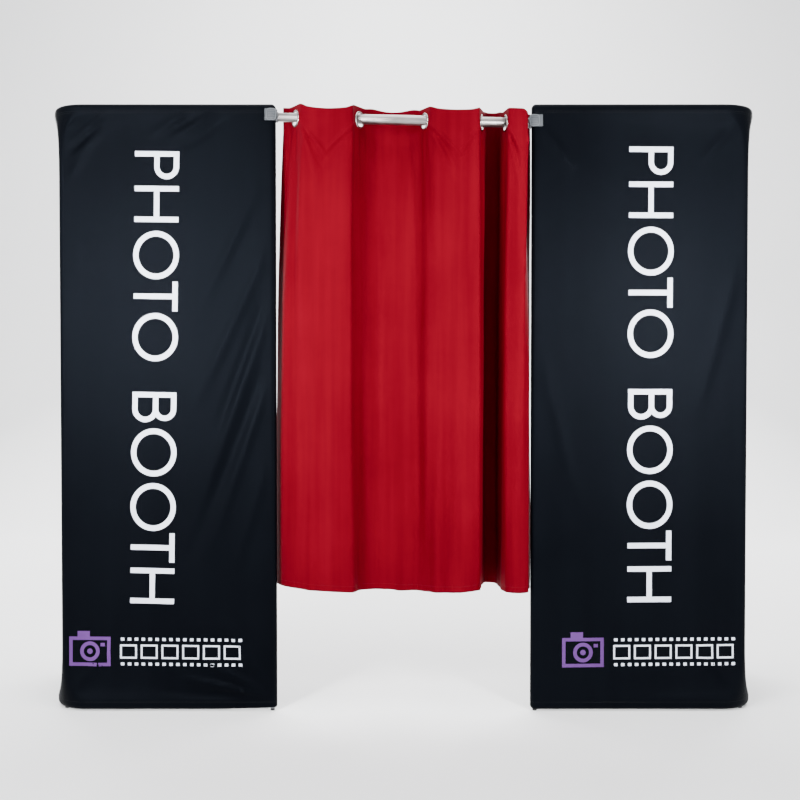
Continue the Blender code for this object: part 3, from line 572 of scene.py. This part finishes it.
def bar(u0, v0, u1, v1):
    """Filled rectangle as a grid of small cells."""
    nu = max(1, round(abs(u1 - u0) / CELL))
    nv = max(1, round(abs(v1 - v0) / CELL))
    points = [
        (u0 + (u1 - u0) * i / nu, v0 + (v1 - v0) * j / nv) for j in range(nv + 1) for i in range(nu + 1)
    ]
    return points, quads(nv + 1, nu + 1)


def ring(cu, cv, outer, inner, start=0.0, end=360.0, stretch=1.0):
    """Filled part of a ring as a grid of small cells."""
    turns = max(6, round(math.radians(end - start) * outer / 0.006))
    bands = max(1, round((outer - inner) / CELL))
    points = []
    for j in range(bands + 1):
        radius = inner + (outer - inner) * j / bands
        for i in range(turns + 1):
            angle = math.radians(start + (end - start) * i / turns)
            points.append((cu + stretch * radius * math.cos(angle), cv + radius * math.sin(angle)))
    return points, quads(bands + 1, turns + 1)


def bowl(low, high, reach):
    """Two arms and a half ring between two heights of a stem."""
    radius = (high - low) / 2
    stop = reach - radius
    mid = (low + high) / 2
    return [
        bar(STROKE, high - STROKE, stop, high),
        bar(STROKE, low, stop, low + STROKE),
        ring(stop, mid, radius, radius - STROKE, -90.0, 90.0),
    ]


def letter(kind, width):
    """Shapes of one plain capital, from its lower left corner."""
    top = LETTER_H
    stem = bar(0.0, 0.0, STROKE, top)
    if kind == "P":
        return [stem] + bowl(0.44 * top, top, width)
    if kind == "B":
        waist = 0.53 * top
        return [stem] + bowl(0.0, waist + STROKE / 2, width) + bowl(waist - STROKE / 2, top, 0.95 * width)
    if kind == "H":
        mid = (top - STROKE) / 2
        return [stem, bar(width - STROKE, 0.0, width, top), bar(STROKE, mid, width - STROKE, mid + STROKE)]
    if kind == "T":
        left = (width - STROKE) / 2
        return [bar(0.0, top - STROKE, width, top), bar(left, 0.0, left + STROKE, top - STROKE)]
    tall = top / 2 + 0.003
    return [ring(width / 2, top / 2, tall, tall - STROKE, 0.0, 360.0, width / (2.0 * tall))]


WORDS = (
    ("P", 0.097, 0.024), ("H", 0.126, 0.031), ("O", 0.169, 0.008), ("T", 0.104, 0.007), ("O", 0.169, 0.109),
    ("B", 0.106, 0.022), ("O", 0.169, 0.024), ("O", 0.169, 0.007), ("T", 0.104, 0.021), ("H", 0.126, 0.0),
)


def words_down(start_x, start_z, lean, stretch):
    """Both words as (x, z) shapes, read downwards with their tops towards +X."""
    shapes = []
    run = 0.0
    cos, sin = math.cos(lean), math.sin(lean)
    for kind, width, gap in WORDS:
        for points, faces in letter(kind, width):
            placed = []
            for u, v in points:
                down = (run + u) * stretch
                placed.append((start_x + v * cos - down * sin, start_z - down * cos - v * sin))
            shapes.append((placed, faces))
        run += width + gap
    return shapes


def camera_sign(x, z):
    """Camera pictogram: outlined body, viewfinder hump, lens ring and dot."""
    w, h, t = 0.148, 0.104, 0.012
    return [
        bar(x, z, x + w, z + t), bar(x, z + h - t, x + w, z + h),
        bar(x, z + t, x + t, z + h - t), bar(x + w - t, z + t, x + w, z + h - t),
        bar(x + 0.03, z + h, x + 0.074, z + h + 0.02),
        ring(x + w / 2, z + h / 2, 0.035, 0.022), ring(x + w / 2, z + h / 2, 0.01, 0.0005),
        bar(x + w - 0.036, z + h - 0.034, x + w - 0.021, z + h - 0.022),
    ]


FILM_FRAME = (
    (0.0, 0.03, 0.06, 0.036), (0.0, 0.074, 0.06, 0.08),
    (0.0, 0.036, 0.006, 0.074), (0.054, 0.036, 0.06, 0.074),
)


def film_rows(x, z):
    """Blank strip of film in place of a line of small print."""
    shapes = []
    for i in range(6):
        left = x + i * 0.074
        for u0, v0, u1, v1 in FILM_FRAME:
            shapes.append(bar(left + u0, z + v0, left + u1, z + v1))
    holes = [(x + 0.003 + i * 0.0247, row) for row in (z + 0.006, z + 0.094) for i in range(18)]
    return shapes + [bar(left, row, left + 0.012, row + 0.01) for left, row in holes]


def make_print(name, side, tree, shapes, mat):
    """Ink layer on the cover's front face that follows its creases."""
    verts = []
    faces = []
    ahead = Vector((0.0, 1.0, 0.0))
    for layer, (points, cells) in enumerate(shapes):
        base = len(verts)
        proud = 0.0003 + 0.00005 * (layer % 6)
        for x, z in points:
            hit = tree.ray_cast(Vector((x, PLANE_Y - 0.5, z)), ahead)[0]
            verts.append((x, hit.y - proud, z))
        faces.extend(tuple(base + k for k in face) for face in cells)
    ink = mesh_object(name, verts, faces, mat, 80.0)
    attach(ink, side + "_wing")


def print_wing(side, cover, start, lean, stretch, sign_place):
    """All the print on one wing."""
    bm = bmesh.new()
    bm.from_mesh(cover.data)
    tree = BVHTree.FromBMesh(bm)
    bm.free()
    make_print(side + "_words", side, tree, words_down(start[0], start[1], lean, stretch), MATS["print"])
    x, z = sign_place
    make_print(side + "_pictogram", side, tree, camera_sign(x, z + 0.015), MATS["accent"])
    make_print(side + "_film_strip", side, tree, film_rows(x + 0.182, z + 0.012), MATS["print"])


# ---- lines and stitches

def run_along(points):
    """Distance along a line to each of its points."""
    return np.concatenate([[0.0], np.cumsum(np.linalg.norm(np.diff(points, axis=0), axis=1))])


def follow(values, sums, run):
    """Values read at given distances along a line."""
    return np.stack([np.interp(run, sums, column) for column in values.T], axis=1)


def unit_rows(vectors):
    """Unit copies of an array's last-axis vectors."""
    return vectors / np.maximum(1e-9, np.linalg.norm(vectors, axis=-1, keepdims=True))


def stitch_row(points, normals, sizes, verts, faces):
    """Row of raised stitches of one (pitch, length, thickness), added to the lists."""
    pitch, length, wide = sizes
    sums = run_along(points)
    starts = np.arange(pitch, sums[-1] - pitch, pitch)
    head = follow(points, sums, starts)
    tail = follow(points, sums, starts + length)
    heart = (head + tail) / 2
    away = follow(normals, sums, starts)
    side = unit_rows(np.cross(away, tail - head))
    for k in range(len(starts)):
        base = len(verts)
        waist = [heart[k] + shift * wide for shift in (away[k], side[k], -away[k], -side[k])]
        verts.extend(tuple(p) for p in (head[k], *waist, tail[k]))
        for a, b in ((1, 2), (2, 3), (3, 4), (4, 1)):
            faces.append((base, base + a, base + b))
            faces.append((base + 5, base + b, base + a))


# ---- curtain

HEADER = 0.042
LENGTH = 1.697
HEAD_FLAT = 0.085
HALF_FLAT = 0.037
LEFT_TOP = -0.426
RIGHT_END = 0.449
BAYS = (
    (((-0.318, -0.064), (1.0, -0.12)), ((-0.182, -0.053), (1.0, 0.18))),
    (((-0.092, 0.062), (1.0, 0.2)), ((0.02, 0.058), (1.0, -0.15))),
    (((0.125, -0.058), (1.0, -0.15)), ((0.2585, -0.052), (1.0, 0.12))),
    (((0.315, 0.098), (1.0, 0.0)),),
    (((0.372, -0.05), (1.0, -0.12)), ((0.418, -0.057), (1.0, 0.2)), ((0.4305, -0.0465), (-0.1, 1.0))),
)
DIPS = (0.012, 0.0225, 0.0065, 0.017, -0.0035)
LIFT = 0.006
ROLL_DROOP = 0.016
TIP = 0.217
HEM_LINE = (
    (-0.457, 0.085), (-0.446, 0.05), (-0.431, 0.01), (-0.405, -0.022), (-0.35, -0.044), (-0.26, -0.058),
    (-0.2, -0.061), (-0.186, -0.06), (-0.179, -0.056), (-0.174, -0.048), (-0.156, -0.018),
    (-0.128, 0.012), (-0.102, 0.024), (-0.06, 0.027), (-0.01, 0.018), (0.025, 0.013), (0.05, 0.006),
    (0.066, -0.008), (0.085, -0.024), (0.125, -0.042), (0.18, -0.054), (0.235, -0.057), (0.258, -0.055),
    (0.266, -0.05), (0.27, -0.04), (0.274, 0.0), (0.28, 0.07), (0.292, 0.125), (0.314, 0.14),
    (0.334, 0.125), (0.344, 0.07), (0.348, 0.0), (0.35, -0.026), (0.355, -0.035), (0.364, -0.04),
    (0.39, -0.048), (0.418, -0.045), (0.436, -0.03), (0.442, 0.005), (0.447, 0.05), (0.45, 0.08),
)
HEM_AT_RINGS = (
    (-0.4, -0.024), (-0.148, -0.009), (0.082, -0.021), (0.275, 0.01), (0.3475, 0.01), (0.4385, -0.01),
)
HEM_AT_MIDS = ((-0.29, -0.053), (-0.035, 0.022), (0.18, -0.054), (0.314, 0.14), (0.39, -0.048))
HEAD_EDGES = ((-0.1795, -0.05), (0.262, -0.049), (0.364, -0.045))
HEM_EDGES = ((-0.18, -0.057), (0.266, -0.05), (0.352, -0.031))
HEM_RISE = (
    (-0.44, 0.009), (-0.39, 0.008), (-0.3, 0.002), (-0.05, -0.001), (-0.02, -0.004), (0.03, 0.001),
    (0.12, 0.003), (0.2, 0.007), (0.26, 0.018), (0.31, 0.012), (0.355, 0.01), (0.449, 0.01),
)
COLUMN = 0.006
ROWS = 260
HEM_STITCH = (0.004, 0.0029, 0.00035)
CLOTH_THICK = 0.001


def cloth_way(i):
    """Plan direction of the cloth through a grommet; it changes side at each one."""
    angle = math.radians(RING_DEG[i])
    return np.array((math.cos(angle), (-1.0 if i % 2 == 0 else 1.0) * math.sin(angle)))


def hermite(a, way_a, b, way_b, pull, t):
    """Points at shares t of a line that leaves a and reaches b along given directions."""
    ta = unit(way_a) * pull
    tb = unit(way_b) * pull
    leave = (2 * t**3 - 3 * t**2 + 1) * a + (t**3 - 2 * t**2 + t) * ta
    return leave + (3 * t**2 - 2 * t**3) * b + (t**3 - t**2) * tb


def curve(a, way_a, b, way_b, steps):
    """Rounded plan line between two points, both included."""
    shares = np.linspace(0.0, 1.0, steps + 1)[:, None]
    return hermite(a, way_a, b, way_b, 1.15 * np.linalg.norm(b - a), shares)


def head_path():
    """Plan line of the cloth at the rod, relative to the rod's plane."""
    stops = []
    for i, centre in enumerate(RINGS):
        way = cloth_way(i)
        mid = np.array((centre.x, 0.0))
        stops.append((mid - HALF_FLAT * way, way))
        stops.append((mid + HALF_FLAT * way, way))
        if i < len(BAYS):
            stops.extend((np.array(place), np.array(way)) for place, way in BAYS[i])
    points = [curve(np.array((LEFT_TOP, 0.04)), np.array((0.5, 0.1)), *stops[0], 30)]
    for start, finish in zip(stops[:-1], stops[1:]):
        points.append(curve(*start, *finish, 40))
    points.append(np.array([(RIGHT_END, 0.058)]))
    path = np.concatenate(points)
    keep = np.concatenate([[True], np.linalg.norm(np.diff(path, axis=0), axis=1) > 1e-7])
    return path[keep]


def hem_path():
    """Plan line of the cloth at the hem."""
    points = np.array(HEM_LINE)
    way = np.gradient(points, axis=0)
    way[1:-1] = points[2:] - points[:-2]
    parts = []
    t = np.linspace(0.0, 1.0, 25)[:-1, None]
    for k in range(len(points) - 1):
        a, b = points[k], points[k + 1]
        parts.append(hermite(a, way[k], b, way[k + 1], np.linalg.norm(b - a), t))
    parts.append(points[-1:])
    return np.concatenate(parts)


def place_near(path, point):
    """Distance along a plan line to its point nearest to a given one."""
    return float(run_along(path)[int(np.argmin(np.linalg.norm(path - np.array(point), axis=1)))])


def resample(path, shares):
    """Points at given shares of a line's length."""
    sums = run_along(path)
    return follow(path, sums, shares * sums[-1])


def ring_places(path):
    """Distance along the cloth of each grommet's centre."""
    starts = [np.array((RINGS[i].x, 0.0)) - HALF_FLAT * cloth_way(i) for i in range(6)]
    return [place_near(path, start) + HALF_FLAT for start in starts]


def make_curtain():
    """Curtain hung on its grommets: zigzag head, sagging swags, long folds and a stitched hem."""
    head = head_path()
    width = float(run_along(head)[-1])
    places = ring_places(head)
    columns = int(width / COLUMN)
    shares = np.linspace(0.0, 1.0, columns + 1)
    s = shares * width
    top = resample(head, shares)
    low_line = hem_path()
    low_width = float(run_along(low_line)[-1])
    mids = [(a + b) / 2 for a, b in zip(places[:-1], places[1:])]
    edges = [place_near(head, point) for point in HEAD_EDGES]
    keys = sorted([0.0, width] + places + mids + edges)
    low_places = [place_near(low_line, point) for point in HEM_AT_RINGS + HEM_AT_MIDS + HEM_EDGES]
    low_keys = sorted([0.0, low_width] + low_places)
    hem = resample(low_line, np.interp(s, keys, low_keys) / low_width)
    drops = LENGTH * np.linspace(0.0, 1.0, ROWS + 1) ** 1.08
    share = np.clip((drops - HEAD_FLAT) / (LENGTH - HEAD_FLAT), 0.0, 1.0)
    blend = (1.0 - (1.0 - share) ** 2.6)[:, None, None]
    plan = top[None] * (1.0 - blend) + hem[None] * blend
    near = np.min(np.abs(s[None, :] - np.array(places)[:, None]), axis=0)
    loose = np.clip((near - 0.028) / 0.055, 0.0, 1.0)
    loose = loose * loose * (3.0 - 2.0 * loose)
    span_left = np.array([max([p for p in places if p <= v], default=0.0) for v in s])
    span_right = np.array([min([p for p in places if p > v], default=width) for v in s])
    span_width = span_right - span_left
    middle_share = np.clip((s - span_left) / span_width, 0.0, 1.0)
    bay = np.searchsorted(np.array(places), s)
    dips = np.array((0.0, *DIPS, 0.0))[bay]
    inner = (s > places[0]) & (s < places[-1])
    hang = (dips * (0.5 - 0.5 * np.cos(2 * np.pi * middle_share)) - LIFT - TIP * top[:, 1]) * loose * inner
    hang = hang + ROLL_DROOP * np.exp(-(((s - place_near(head, BAYS[4][2][0])) / 0.014) ** 2))
    fade = np.exp(-((drops / 0.26) ** 2))[:, None]
    sag = hang[None, :] * fade
    rise = np.interp(hem[:, 0], [p[0] for p in HEM_RISE], [p[1] for p in HEM_RISE])
    shorter = rise[None, :] * (drops[:, None] / LENGTH) ** 2
    x = plan[..., 0]
    y = plan[..., 1]
    z = np.array([rod_z(v) for v in top[:, 0]])[None, :] + HEADER - drops[:, None] - sag + shorter
    way = np.gradient(plan, axis=1)
    normal = unit_rows(np.stack([way[..., 1], -way[..., 0]], axis=-1))
    relief = swags(s, drops, places) + soft_folds(s, drops, near)
    hem_roll = 0.0012 * np.exp(-(((LENGTH - drops - 0.012) / 0.0035) ** 2))[:, None]
    relief = relief - hem_roll
    x = x + normal[..., 0] * relief
    y = y + normal[..., 1] * relief + PLANE_Y
    verts, faces = punched_grid(x, y, z, s, drops, places)
    cloth = mesh_object("cloth", verts, faces, MATS["curtain"], 75.0)
    thick = cloth.modifiers.new("thick", "SOLIDIFY")
    thick.thickness = CLOTH_THICK
    thick.offset = 0.0
    apply_modifiers(cloth)
    cloth = join("red_curtain", [cloth, hem_stitches(x, y, z, drops)])
    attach(cloth, "rod_outer")
    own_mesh(cloth)
    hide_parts("curtain")


def hem_stitches(x, y, z, drops):
    """Stitches along the hem and down both edges, on each face."""
    grid = np.stack([x, y, z], axis=-1)
    along = np.gradient(grid, axis=1)
    down = np.gradient(grid, axis=0)
    normal = unit_rows(np.cross(along, down))
    hem_row = int(np.argmin(np.abs(drops - (LENGTH - 0.022))))
    lines = [
        (grid[hem_row, 3:-3], normal[hem_row, 3:-3]),
        (grid[2:hem_row, 3], normal[2:hem_row, 3]),
        (grid[2:hem_row, -4], normal[2:hem_row, -4]),
    ]
    verts = []
    faces = []
    for points, away in lines:
        for face_side in (1.0, -1.0):
            stitch_row(points + away * 0.0006 * face_side, away, HEM_STITCH, verts, faces)
    return mesh_object("stitches", verts, faces, MATS["thread"], None)


def swags(s, drops, places):
    """Shallow creases that hang from the grommets where the cloth bulges forward."""
    relief = np.zeros((len(drops), len(s)))
    for bay, (left, right) in enumerate(zip(places[:-1], places[1:])):
        gap = right - left
        if gap < 0.15 or bay % 2:
            continue
        lean = 0.5 if bay == 0 else 0.58
        for k, size in ((0, 0.0078), (1, -0.0066), (2, 0.0043)):
            mid = left + (lean - 0.04 * k) * gap
            for start, depth in ((left + 0.03, 0.105 + 0.05 * k), (right - 0.03, 0.09 + 0.04 * k)):
                run = (s - start) / (mid - start)
                inside = np.sin(np.pi * np.clip(run * 0.94 + 0.02, 0.0, 1.0)) ** 0.6
                inside = inside * ((run > 0.0) & (run < 1.03))
                target = HEADER + 0.02 + depth * np.clip(run, 0.0, 1.0) ** 1.5
                across = (drops[:, None] - target[None, :]) / (0.01 + 0.006 * k)
                relief += size * inside[None, :] * np.exp(-(across**2))
    return relief


def soft_folds(s, drops, near):
    """Small irregular folds that die out towards the flat head."""
    down = drops[:, None]
    grow = np.clip((down - 0.07) / 0.2, 0.0, 1.0)
    across = s[None, :]
    relief = 0.003 * np.sin(46.0 * across + 1.4 * np.sin(1.9 * down) + 0.6)
    relief = relief + 0.002 * np.sin(83.0 * across - 2.2 * np.sin(1.3 * down + 1.0))
    relief = relief + 0.0012 * np.sin(17.0 * across + 5.0 * down) * np.sin(6.0 * down + 2.0)
    relief = relief * grow
    gather = np.exp(-((near[None, :] / 0.05) ** 2)) * np.exp(-(((down - 0.13) / 0.05) ** 2))
    return relief + 0.0032 * gather * np.sin(150.0 * across)


def punched_grid(x, y, z, s, drops, places):
    """Grid of the cloth with a round hole at each grommet."""
    hole = RING_BORE + 0.0034
    rows, columns = x.shape
    centre_drop = HEADER + RING_DROP
    verts = np.stack([x, y, z], axis=-1)
    inside = np.zeros((rows, columns), dtype=bool)
    for i, place in enumerate(places):
        du = np.broadcast_to((s - place)[None, :], (rows, columns))
        dv = np.broadcast_to((drops - centre_drop)[:, None], (rows, columns))
        away = np.hypot(du, dv)
        inside |= away < hole
        rim = (away >= hole) & (away < hole + 0.0075)
        along = np.array((*cloth_way(i), 0.0))
        down = np.array((0.0, 0.0, -1.0))
        heart = np.array(RINGS[i])
        scale = (hole / np.maximum(away, 1e-9))[..., None]
        snapped = heart + du[..., None] * scale * along + dv[..., None] * scale * down
        grown = np.zeros_like(rim)
        for shift in [(a, b) for a in (-1, 0, 1) for b in (-1, 0, 1)]:
            grown |= np.roll(inside, shift, (0, 1))
        edge = rim & grown & ~inside
        verts[edge] = snapped[edge]
    cut = inside.ravel()
    faces = [face for face in quads(rows, columns) if not any(cut[k] for k in face)]
    used = sorted({k for face in faces for k in face})
    renumber = {k: n for n, k in enumerate(used)}
    flat = verts.reshape(-1, 3)
    return [tuple(flat[k]) for k in used], [tuple(renumber[k] for k in face) for face in faces]


# ---- metal and plastic parts

def make_ring(i):
    """Two-part nickel grommet with a rolled face and barrel."""
    wide = RING_OUTER - RING_BORE
    half = (
        (0.0, 0.0), (0.0, 0.0014), (0.04, 0.0021), (0.14, 0.0027), (0.32, 0.003), (0.56, 0.0029),
        (0.8, 0.0024), (0.95, 0.0016), (1.0, 0.001), (0.96, 0.0007), (0.52, 0.0007),
    )
    half = [(RING_BORE + share * wide, height) for share, height in half]
    profile = half + [(r, -h) for r, h in reversed(half[1:])]
    way = cloth_way(i)
    axis = (way[1], -way[0], 0.0)
    obj = lathe("eyelet_" + str(i + 1), profile, RINGS[i], axis, MATS["ring"], 72, 50.0)
    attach(obj, "grommet_" + str(i + 1) if i < 5 else "rod_outer")
    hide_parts("grommet_" + str(i + 1))


def make_tube(name, node, start, end, radius, body):
    """Round tube with softened lips along the rod's axis."""
    length = (end - start) / ROD_DIR.x
    bore = radius - TUBE_WALL
    soft = 0.0004
    profile = (
        (bore, soft), (bore + soft, 0.0), (radius - soft, 0.0), (radius, soft),
        (radius, length - soft), (radius - soft, length), (bore + soft, length), (bore, length - soft),
    )
    tube = lathe(name, profile, rod_point(start), ROD_DIR, MATS["rod"], 64, 50.0)
    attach(tube, body)
    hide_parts(node)


def make_lock_collar():
    """Ribbed twist collar on the join of the two tubes."""
    back = 0.024
    front = 0.012
    over, grip, outer = 0.0176, 0.0159, 0.019
    groove = outer - 0.0006
    profile = [(grip, -front), (outer - 0.0012, -front), (outer - 0.0004, -front + 0.0012)]
    for k in range(7):
        at = -0.008 + k * 0.004
        profile += [(groove, at), (outer, at + 0.0008), (outer, at + 0.0024), (groove, at + 0.0032)]
    profile.extend([(outer - 0.0008, back), (over, back), (over, -0.0008), (grip, -0.0008)])
    collar = lathe("twist_collar", profile, rod_point(JOIN_X), ROD_DIR, MATS["collar"])
    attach(collar, "lock_collar")
    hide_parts("rod_lock_collar")


def jaw_outline(inner, outer, sign, front_leg, back_leg):
    """Plan outline of the U-shaped jaw round the covered post."""
    points = np.concatenate([
        [(front_leg, -outer)], arc((0.0, 0.0), outer, -0.5 * math.pi, -math.pi, 40),
        [(back_leg, outer), (back_leg, inner + 0.0007)], arc((0.0, 0.0), inner, 0.5 * math.pi, math.pi, 40),
        [(front_leg, -inner)],
    ])
    points[:, 0] *= sign
    return points


def rounded_plate(name, centre, width, height, depth, corner, mat, hollow=0.0):
    """Rounded upright plate facing -Y; hollow leaves only a rim."""
    def outline(inset):
        points = []
        w = width / 2 - inset
        h = height / 2 - inset
        r = max(0.0005, corner - inset)
        for k, (right, up) in enumerate(((1, 1), (-1, 1), (-1, -1), (1, -1))):
            for step in range(7):
                angle = math.radians(90.0 * k + 15.0 * step)
                points.append((right * (w - r) + r * math.cos(angle), up * (h - r) + r * math.sin(angle)))
        return points

    soft = min(0.0012, depth / 2)
    stack = [(0.0, 0.0), (0.0, -depth + soft), (soft * 0.3, -depth + soft * 0.3), (soft, -depth)]
    if hollow:
        stack += [(hollow - inset, y) for inset, y in reversed(stack)]
    verts = []
    for inset, y in stack:
        verts.extend((centre[0] + x, centre[1] + y, centre[2] + z) for x, z in outline(inset))
    count = len(verts) // len(stack)
    faces = quads(len(stack), count, bool(hollow), True)
    if not hollow:
        faces += [tuple(range(count)), tuple(range(len(verts) - count, len(verts)))]
    return mesh_object(name, verts, faces, mat, 45.0)


def make_clamp(side, sign):
    """Post clamp: U jaw, framed front plate, grip ribs and the collar with its peg."""
    post = Vector((sign * INNER.x, PLANE_Y, rod_z(sign * INNER.x) + CLAMP_RISE))
    bore = SKIN + 0.0005
    outer = 0.0213
    back_leg = 0.01
    half = 0.0208
    verts = []
    stack = ((-half, 0.0018), (-half + 0.0006, 0.0006), (-half + 0.0018, 0.0), (half - 0.0018, 0.0),
             (half - 0.0006, 0.0006), (half, 0.0018))
    for height, inset in stack:
        outline = jaw_outline(bore, outer - inset, sign, outer - inset, back_leg - inset)
        verts.extend((post.x + p[0], post.y + p[1], post.z + height) for p in outline)
    count = len(outline)
    faces = [tuple(range(count)), tuple(range(5 * count, 6 * count))] + quads(6, count, False, True)
    parts = [mesh_object("jaw", verts, faces, MATS["clamp"])]
    face_y = PLANE_Y - bore - 0.0012
    plate_x = post.x - 0.008 if sign > 0 else post.x + 0.0025
    plate = (plate_x, face_y, post.z)
    parts.append(rounded_plate("plate", plate, 0.036, 0.0412, 0.0042, 0.011, MATS["clamp"]))
    parts.append(rounded_plate("rim", plate, 0.0368, 0.042, 0.0056, 0.0114, MATS["rim"], 0.004))
    for k in range(5):
        z = post.z - 0.012 + 0.006 * k
        parts.append(rounded_plate("rib", (plate_x, face_y, z), 0.024, 0.0022, 0.005, 0.0011, MATS["rim"]))
    end = rod_point(sign * ROD_END)
    toward = -sign * ROD_DIR
    tube = THICK_R if sign > 0 else THIN_R
    bore_r = tube - 0.0016
    profile = (
        (0.01, -0.0078), (tube + 0.0026, -0.0078), (tube + 0.0032, -0.0066), (tube + 0.0032, -0.003),
        (tube + 0.0014, -0.0014), (tube + 0.0012, -0.0005), (bore_r, -0.0005), (bore_r, 0.033),
        (bore_r - 0.002, 0.035), (0.008, 0.035), (0.008, -0.002), (0.01, -0.004),
    )
    parts.append(lathe("collar", profile, end, toward, MATS["collar"], 48))
    clamp = join(side + "_post_clamp", parts)
    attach(clamp, "rod_outer" if sign > 0 else "rod_inner")
    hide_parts(side + "_clamp")


def make_zip_chain(side, sign):
    """Zip tape and teeth along the lower back edge, under the slider."""
    start = INNER.x + 0.05
    length = 0.6
    y = PLANE_Y + SKIN
    z = RAIL_LOW + 0.0025
    verts = []
    faces = []

    def block(x0, x1, y0, y1, z0, z1):
        base = len(verts)
        verts.extend((sign * px, py, pz) for px in (x0, x1) for py in (y0, y1) for pz in (z0, z1))
        for quad in ((0, 1, 3, 2), (4, 6, 7, 5), (0, 4, 5, 1), (2, 3, 7, 6), (0, 2, 6, 4), (1, 5, 7, 3)):
            faces.append(tuple(base + q for q in quad))

    pitch = 0.003
    for k in range(int(length / pitch)):
        x = start + k * pitch
        shift = 0.0007 if k % 2 else -0.0007
        block(x + 0.0003, x + 0.0022, y + 0.0002, y + 0.0016, z - 0.0016 + shift, z + 0.0016 + shift)
    block(start - 0.006, start - 0.0005, y + 0.0002, y + 0.0019, z - 0.0028, z + 0.0028)
    block(start + length + 0.0005, start + length + 0.006, y + 0.0002, y + 0.0019, z - 0.0028, z + 0.0028)
    chain = mesh_object(side + "_zip_teeth", verts, faces, MATS["steel"], None)
    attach(chain, side + "_wing")


def dress_frame():
    """Finishes of the CAD nodes that stay as they are."""
    for name, obj in frame["nodes"].items():
        if "post" in name or "rail" in name:
            mat = MATS["frame"]
        elif "connector" in name:
            mat = MATS["connector"]
        elif name.endswith("foot"):
            mat = MATS["rubber"]
        elif "button" in name or "zip" in name:
            mat = MATS["steel"]
        else:
            continue
        obj.data.materials.clear()
        obj.data.materials.append(mat)


# ---- studio

# Soft lights: name, place, target, width, power, then spread in degrees and height where not square.
LIGHTS = (
    ("key", (-3.4, -4.8, 3.4), (0.0, -0.2, 1.1), 2.0, 370.0),
    ("fill", (3.2, -5.0, 1.5), (0.0, -0.2, 0.7), 3.0, 165.0),
    ("left_soft", (-1.14, -1.6, 1.5), (-0.95, -0.2, 1.35), 0.2, 33.0, 110.0, 0.8),
    ("right_soft", (1.14, -1.6, 1.5), (0.95, -0.2, 1.35), 0.2, 33.0, 110.0, 0.8),
    ("top", (0.0, -0.6, 5.4), (0.0, 0.4, 0.5), 4.0, 320.0),
    ("rear", (0.0, 3.2, 5.4), (0.0, 4.4, 0.8), 3.4, 400.0),
    ("rear_left", (-3.6, 4.6, 3.0), (0.4, 0.1, 1.1), 1.8, 190.0),
    ("rear_right", (3.6, 4.6, 3.0), (-0.4, 0.1, 1.1), 1.8, 190.0),
)
LENS = 53.9
CAMERA_SHIFT_X = -0.0129
CAMERA_AWAY = 4.2
CAMERA_Z = 1.2
CAMERA_DIP_DEG = 1.376
SWEEP_START = 4.0
SWEEP_R = 2.5


def make_studio():
    """Pale floor that curves up behind, soft lights and the camera."""
    mat, tree, shader, coords = blank_material("studio_white")
    cloudy = noise(tree, coords, 0.8, 3.0, 0.5)
    tree.links.new(ramp(tree, cloudy, (0.9, 0.9, 0.905), (0.93, 0.93, 0.935)), shader.inputs["Base Color"])
    tree.links.new(bump(tree, noise(tree, coords, 120.0, 3.0), 0.04, 0.001), shader.inputs["Normal"])
    shader.inputs["Roughness"].default_value = 0.85
    profile = [(-9.0, 0.0), (SWEEP_START, 0.0)]
    for k in range(1, 13):
        angle = math.radians(7.5 * k)
        profile.append((SWEEP_START + SWEEP_R * math.sin(angle), SWEEP_R - SWEEP_R * math.cos(angle)))
    profile.append((SWEEP_START + SWEEP_R, 11.0))
    verts = [(x, y, z) for y, z in profile for x in (-14.0, 14.0)]
    floor = mesh_object("studio_floor", verts, quads(len(profile), 2), mat, 60.0)
    for light in LIGHTS:
        area_light(*light)
    world = bpy.data.worlds.new("studio")
    world.use_nodes = True
    sky = world.node_tree.nodes["Background"].inputs
    sky["Color"].default_value = (0.95, 0.97, 1.0, 1.0)
    sky["Strength"].default_value = 0.88
    bpy.context.scene.world = world
    camera = bpy.data.cameras.new("camera")
    camera.lens = LENS
    camera.sensor_width = 36.0
    camera.clip_start = 0.05
    camera.clip_end = 60.0
    holder = new_object("camera", camera)
    holder.location = (CAMERA_SHIFT_X, PLANE_Y - SKIN - CAMERA_AWAY, CAMERA_Z)
    holder.rotation_euler = (math.radians(90.0 - CAMERA_DIP_DEG), 0.0, 0.0)
    bpy.context.scene.camera = holder


def area_light(name, place, target, wide, power, spread=180.0, tall=None):
    """Soft light aimed at a point, square unless a height is given."""
    data = bpy.data.lights.new(name, "AREA")
    data.shape = "RECTANGLE"
    data.size = wide
    data.size_y = tall or wide
    data.energy = power
    data.spread = math.radians(spread)
    obj = new_object(name, data)
    obj.location = place
    obj.rotation_euler = (Vector(target) - Vector(place)).to_track_quat("-Z", "Y").to_euler()
    obj.visible_camera = False


# ---- build

dress_frame()
right_cover = make_cover("right", RIGHT_CREASES, 0.0)
left_cover = make_cover("left", LEFT_CREASES, LEFT_LIFT)
print_wing("left", left_cover, (-0.9415, 1.9715), math.radians(0.95), 1.0, (-1.187, 0.14))
print_wing("right", right_cover, (0.79, 1.9865), 0.0, 1.0066, (0.559, 0.14))
make_curtain()
for number in range(6):
    make_ring(number)
make_tube("thick_tube", "rod_outer_tube", JOIN_X, ROD_END, THICK_R, "rod_outer")
make_tube("thin_tube", "rod_inner_tube", -ROD_END, THIN_END, THIN_R, "rod_inner")
make_lock_collar()
make_clamp("right", 1.0)
make_clamp("left", -1.0)
make_zip_chain("right", 1.0)
make_zip_chain("left", -1.0)
make_studio()
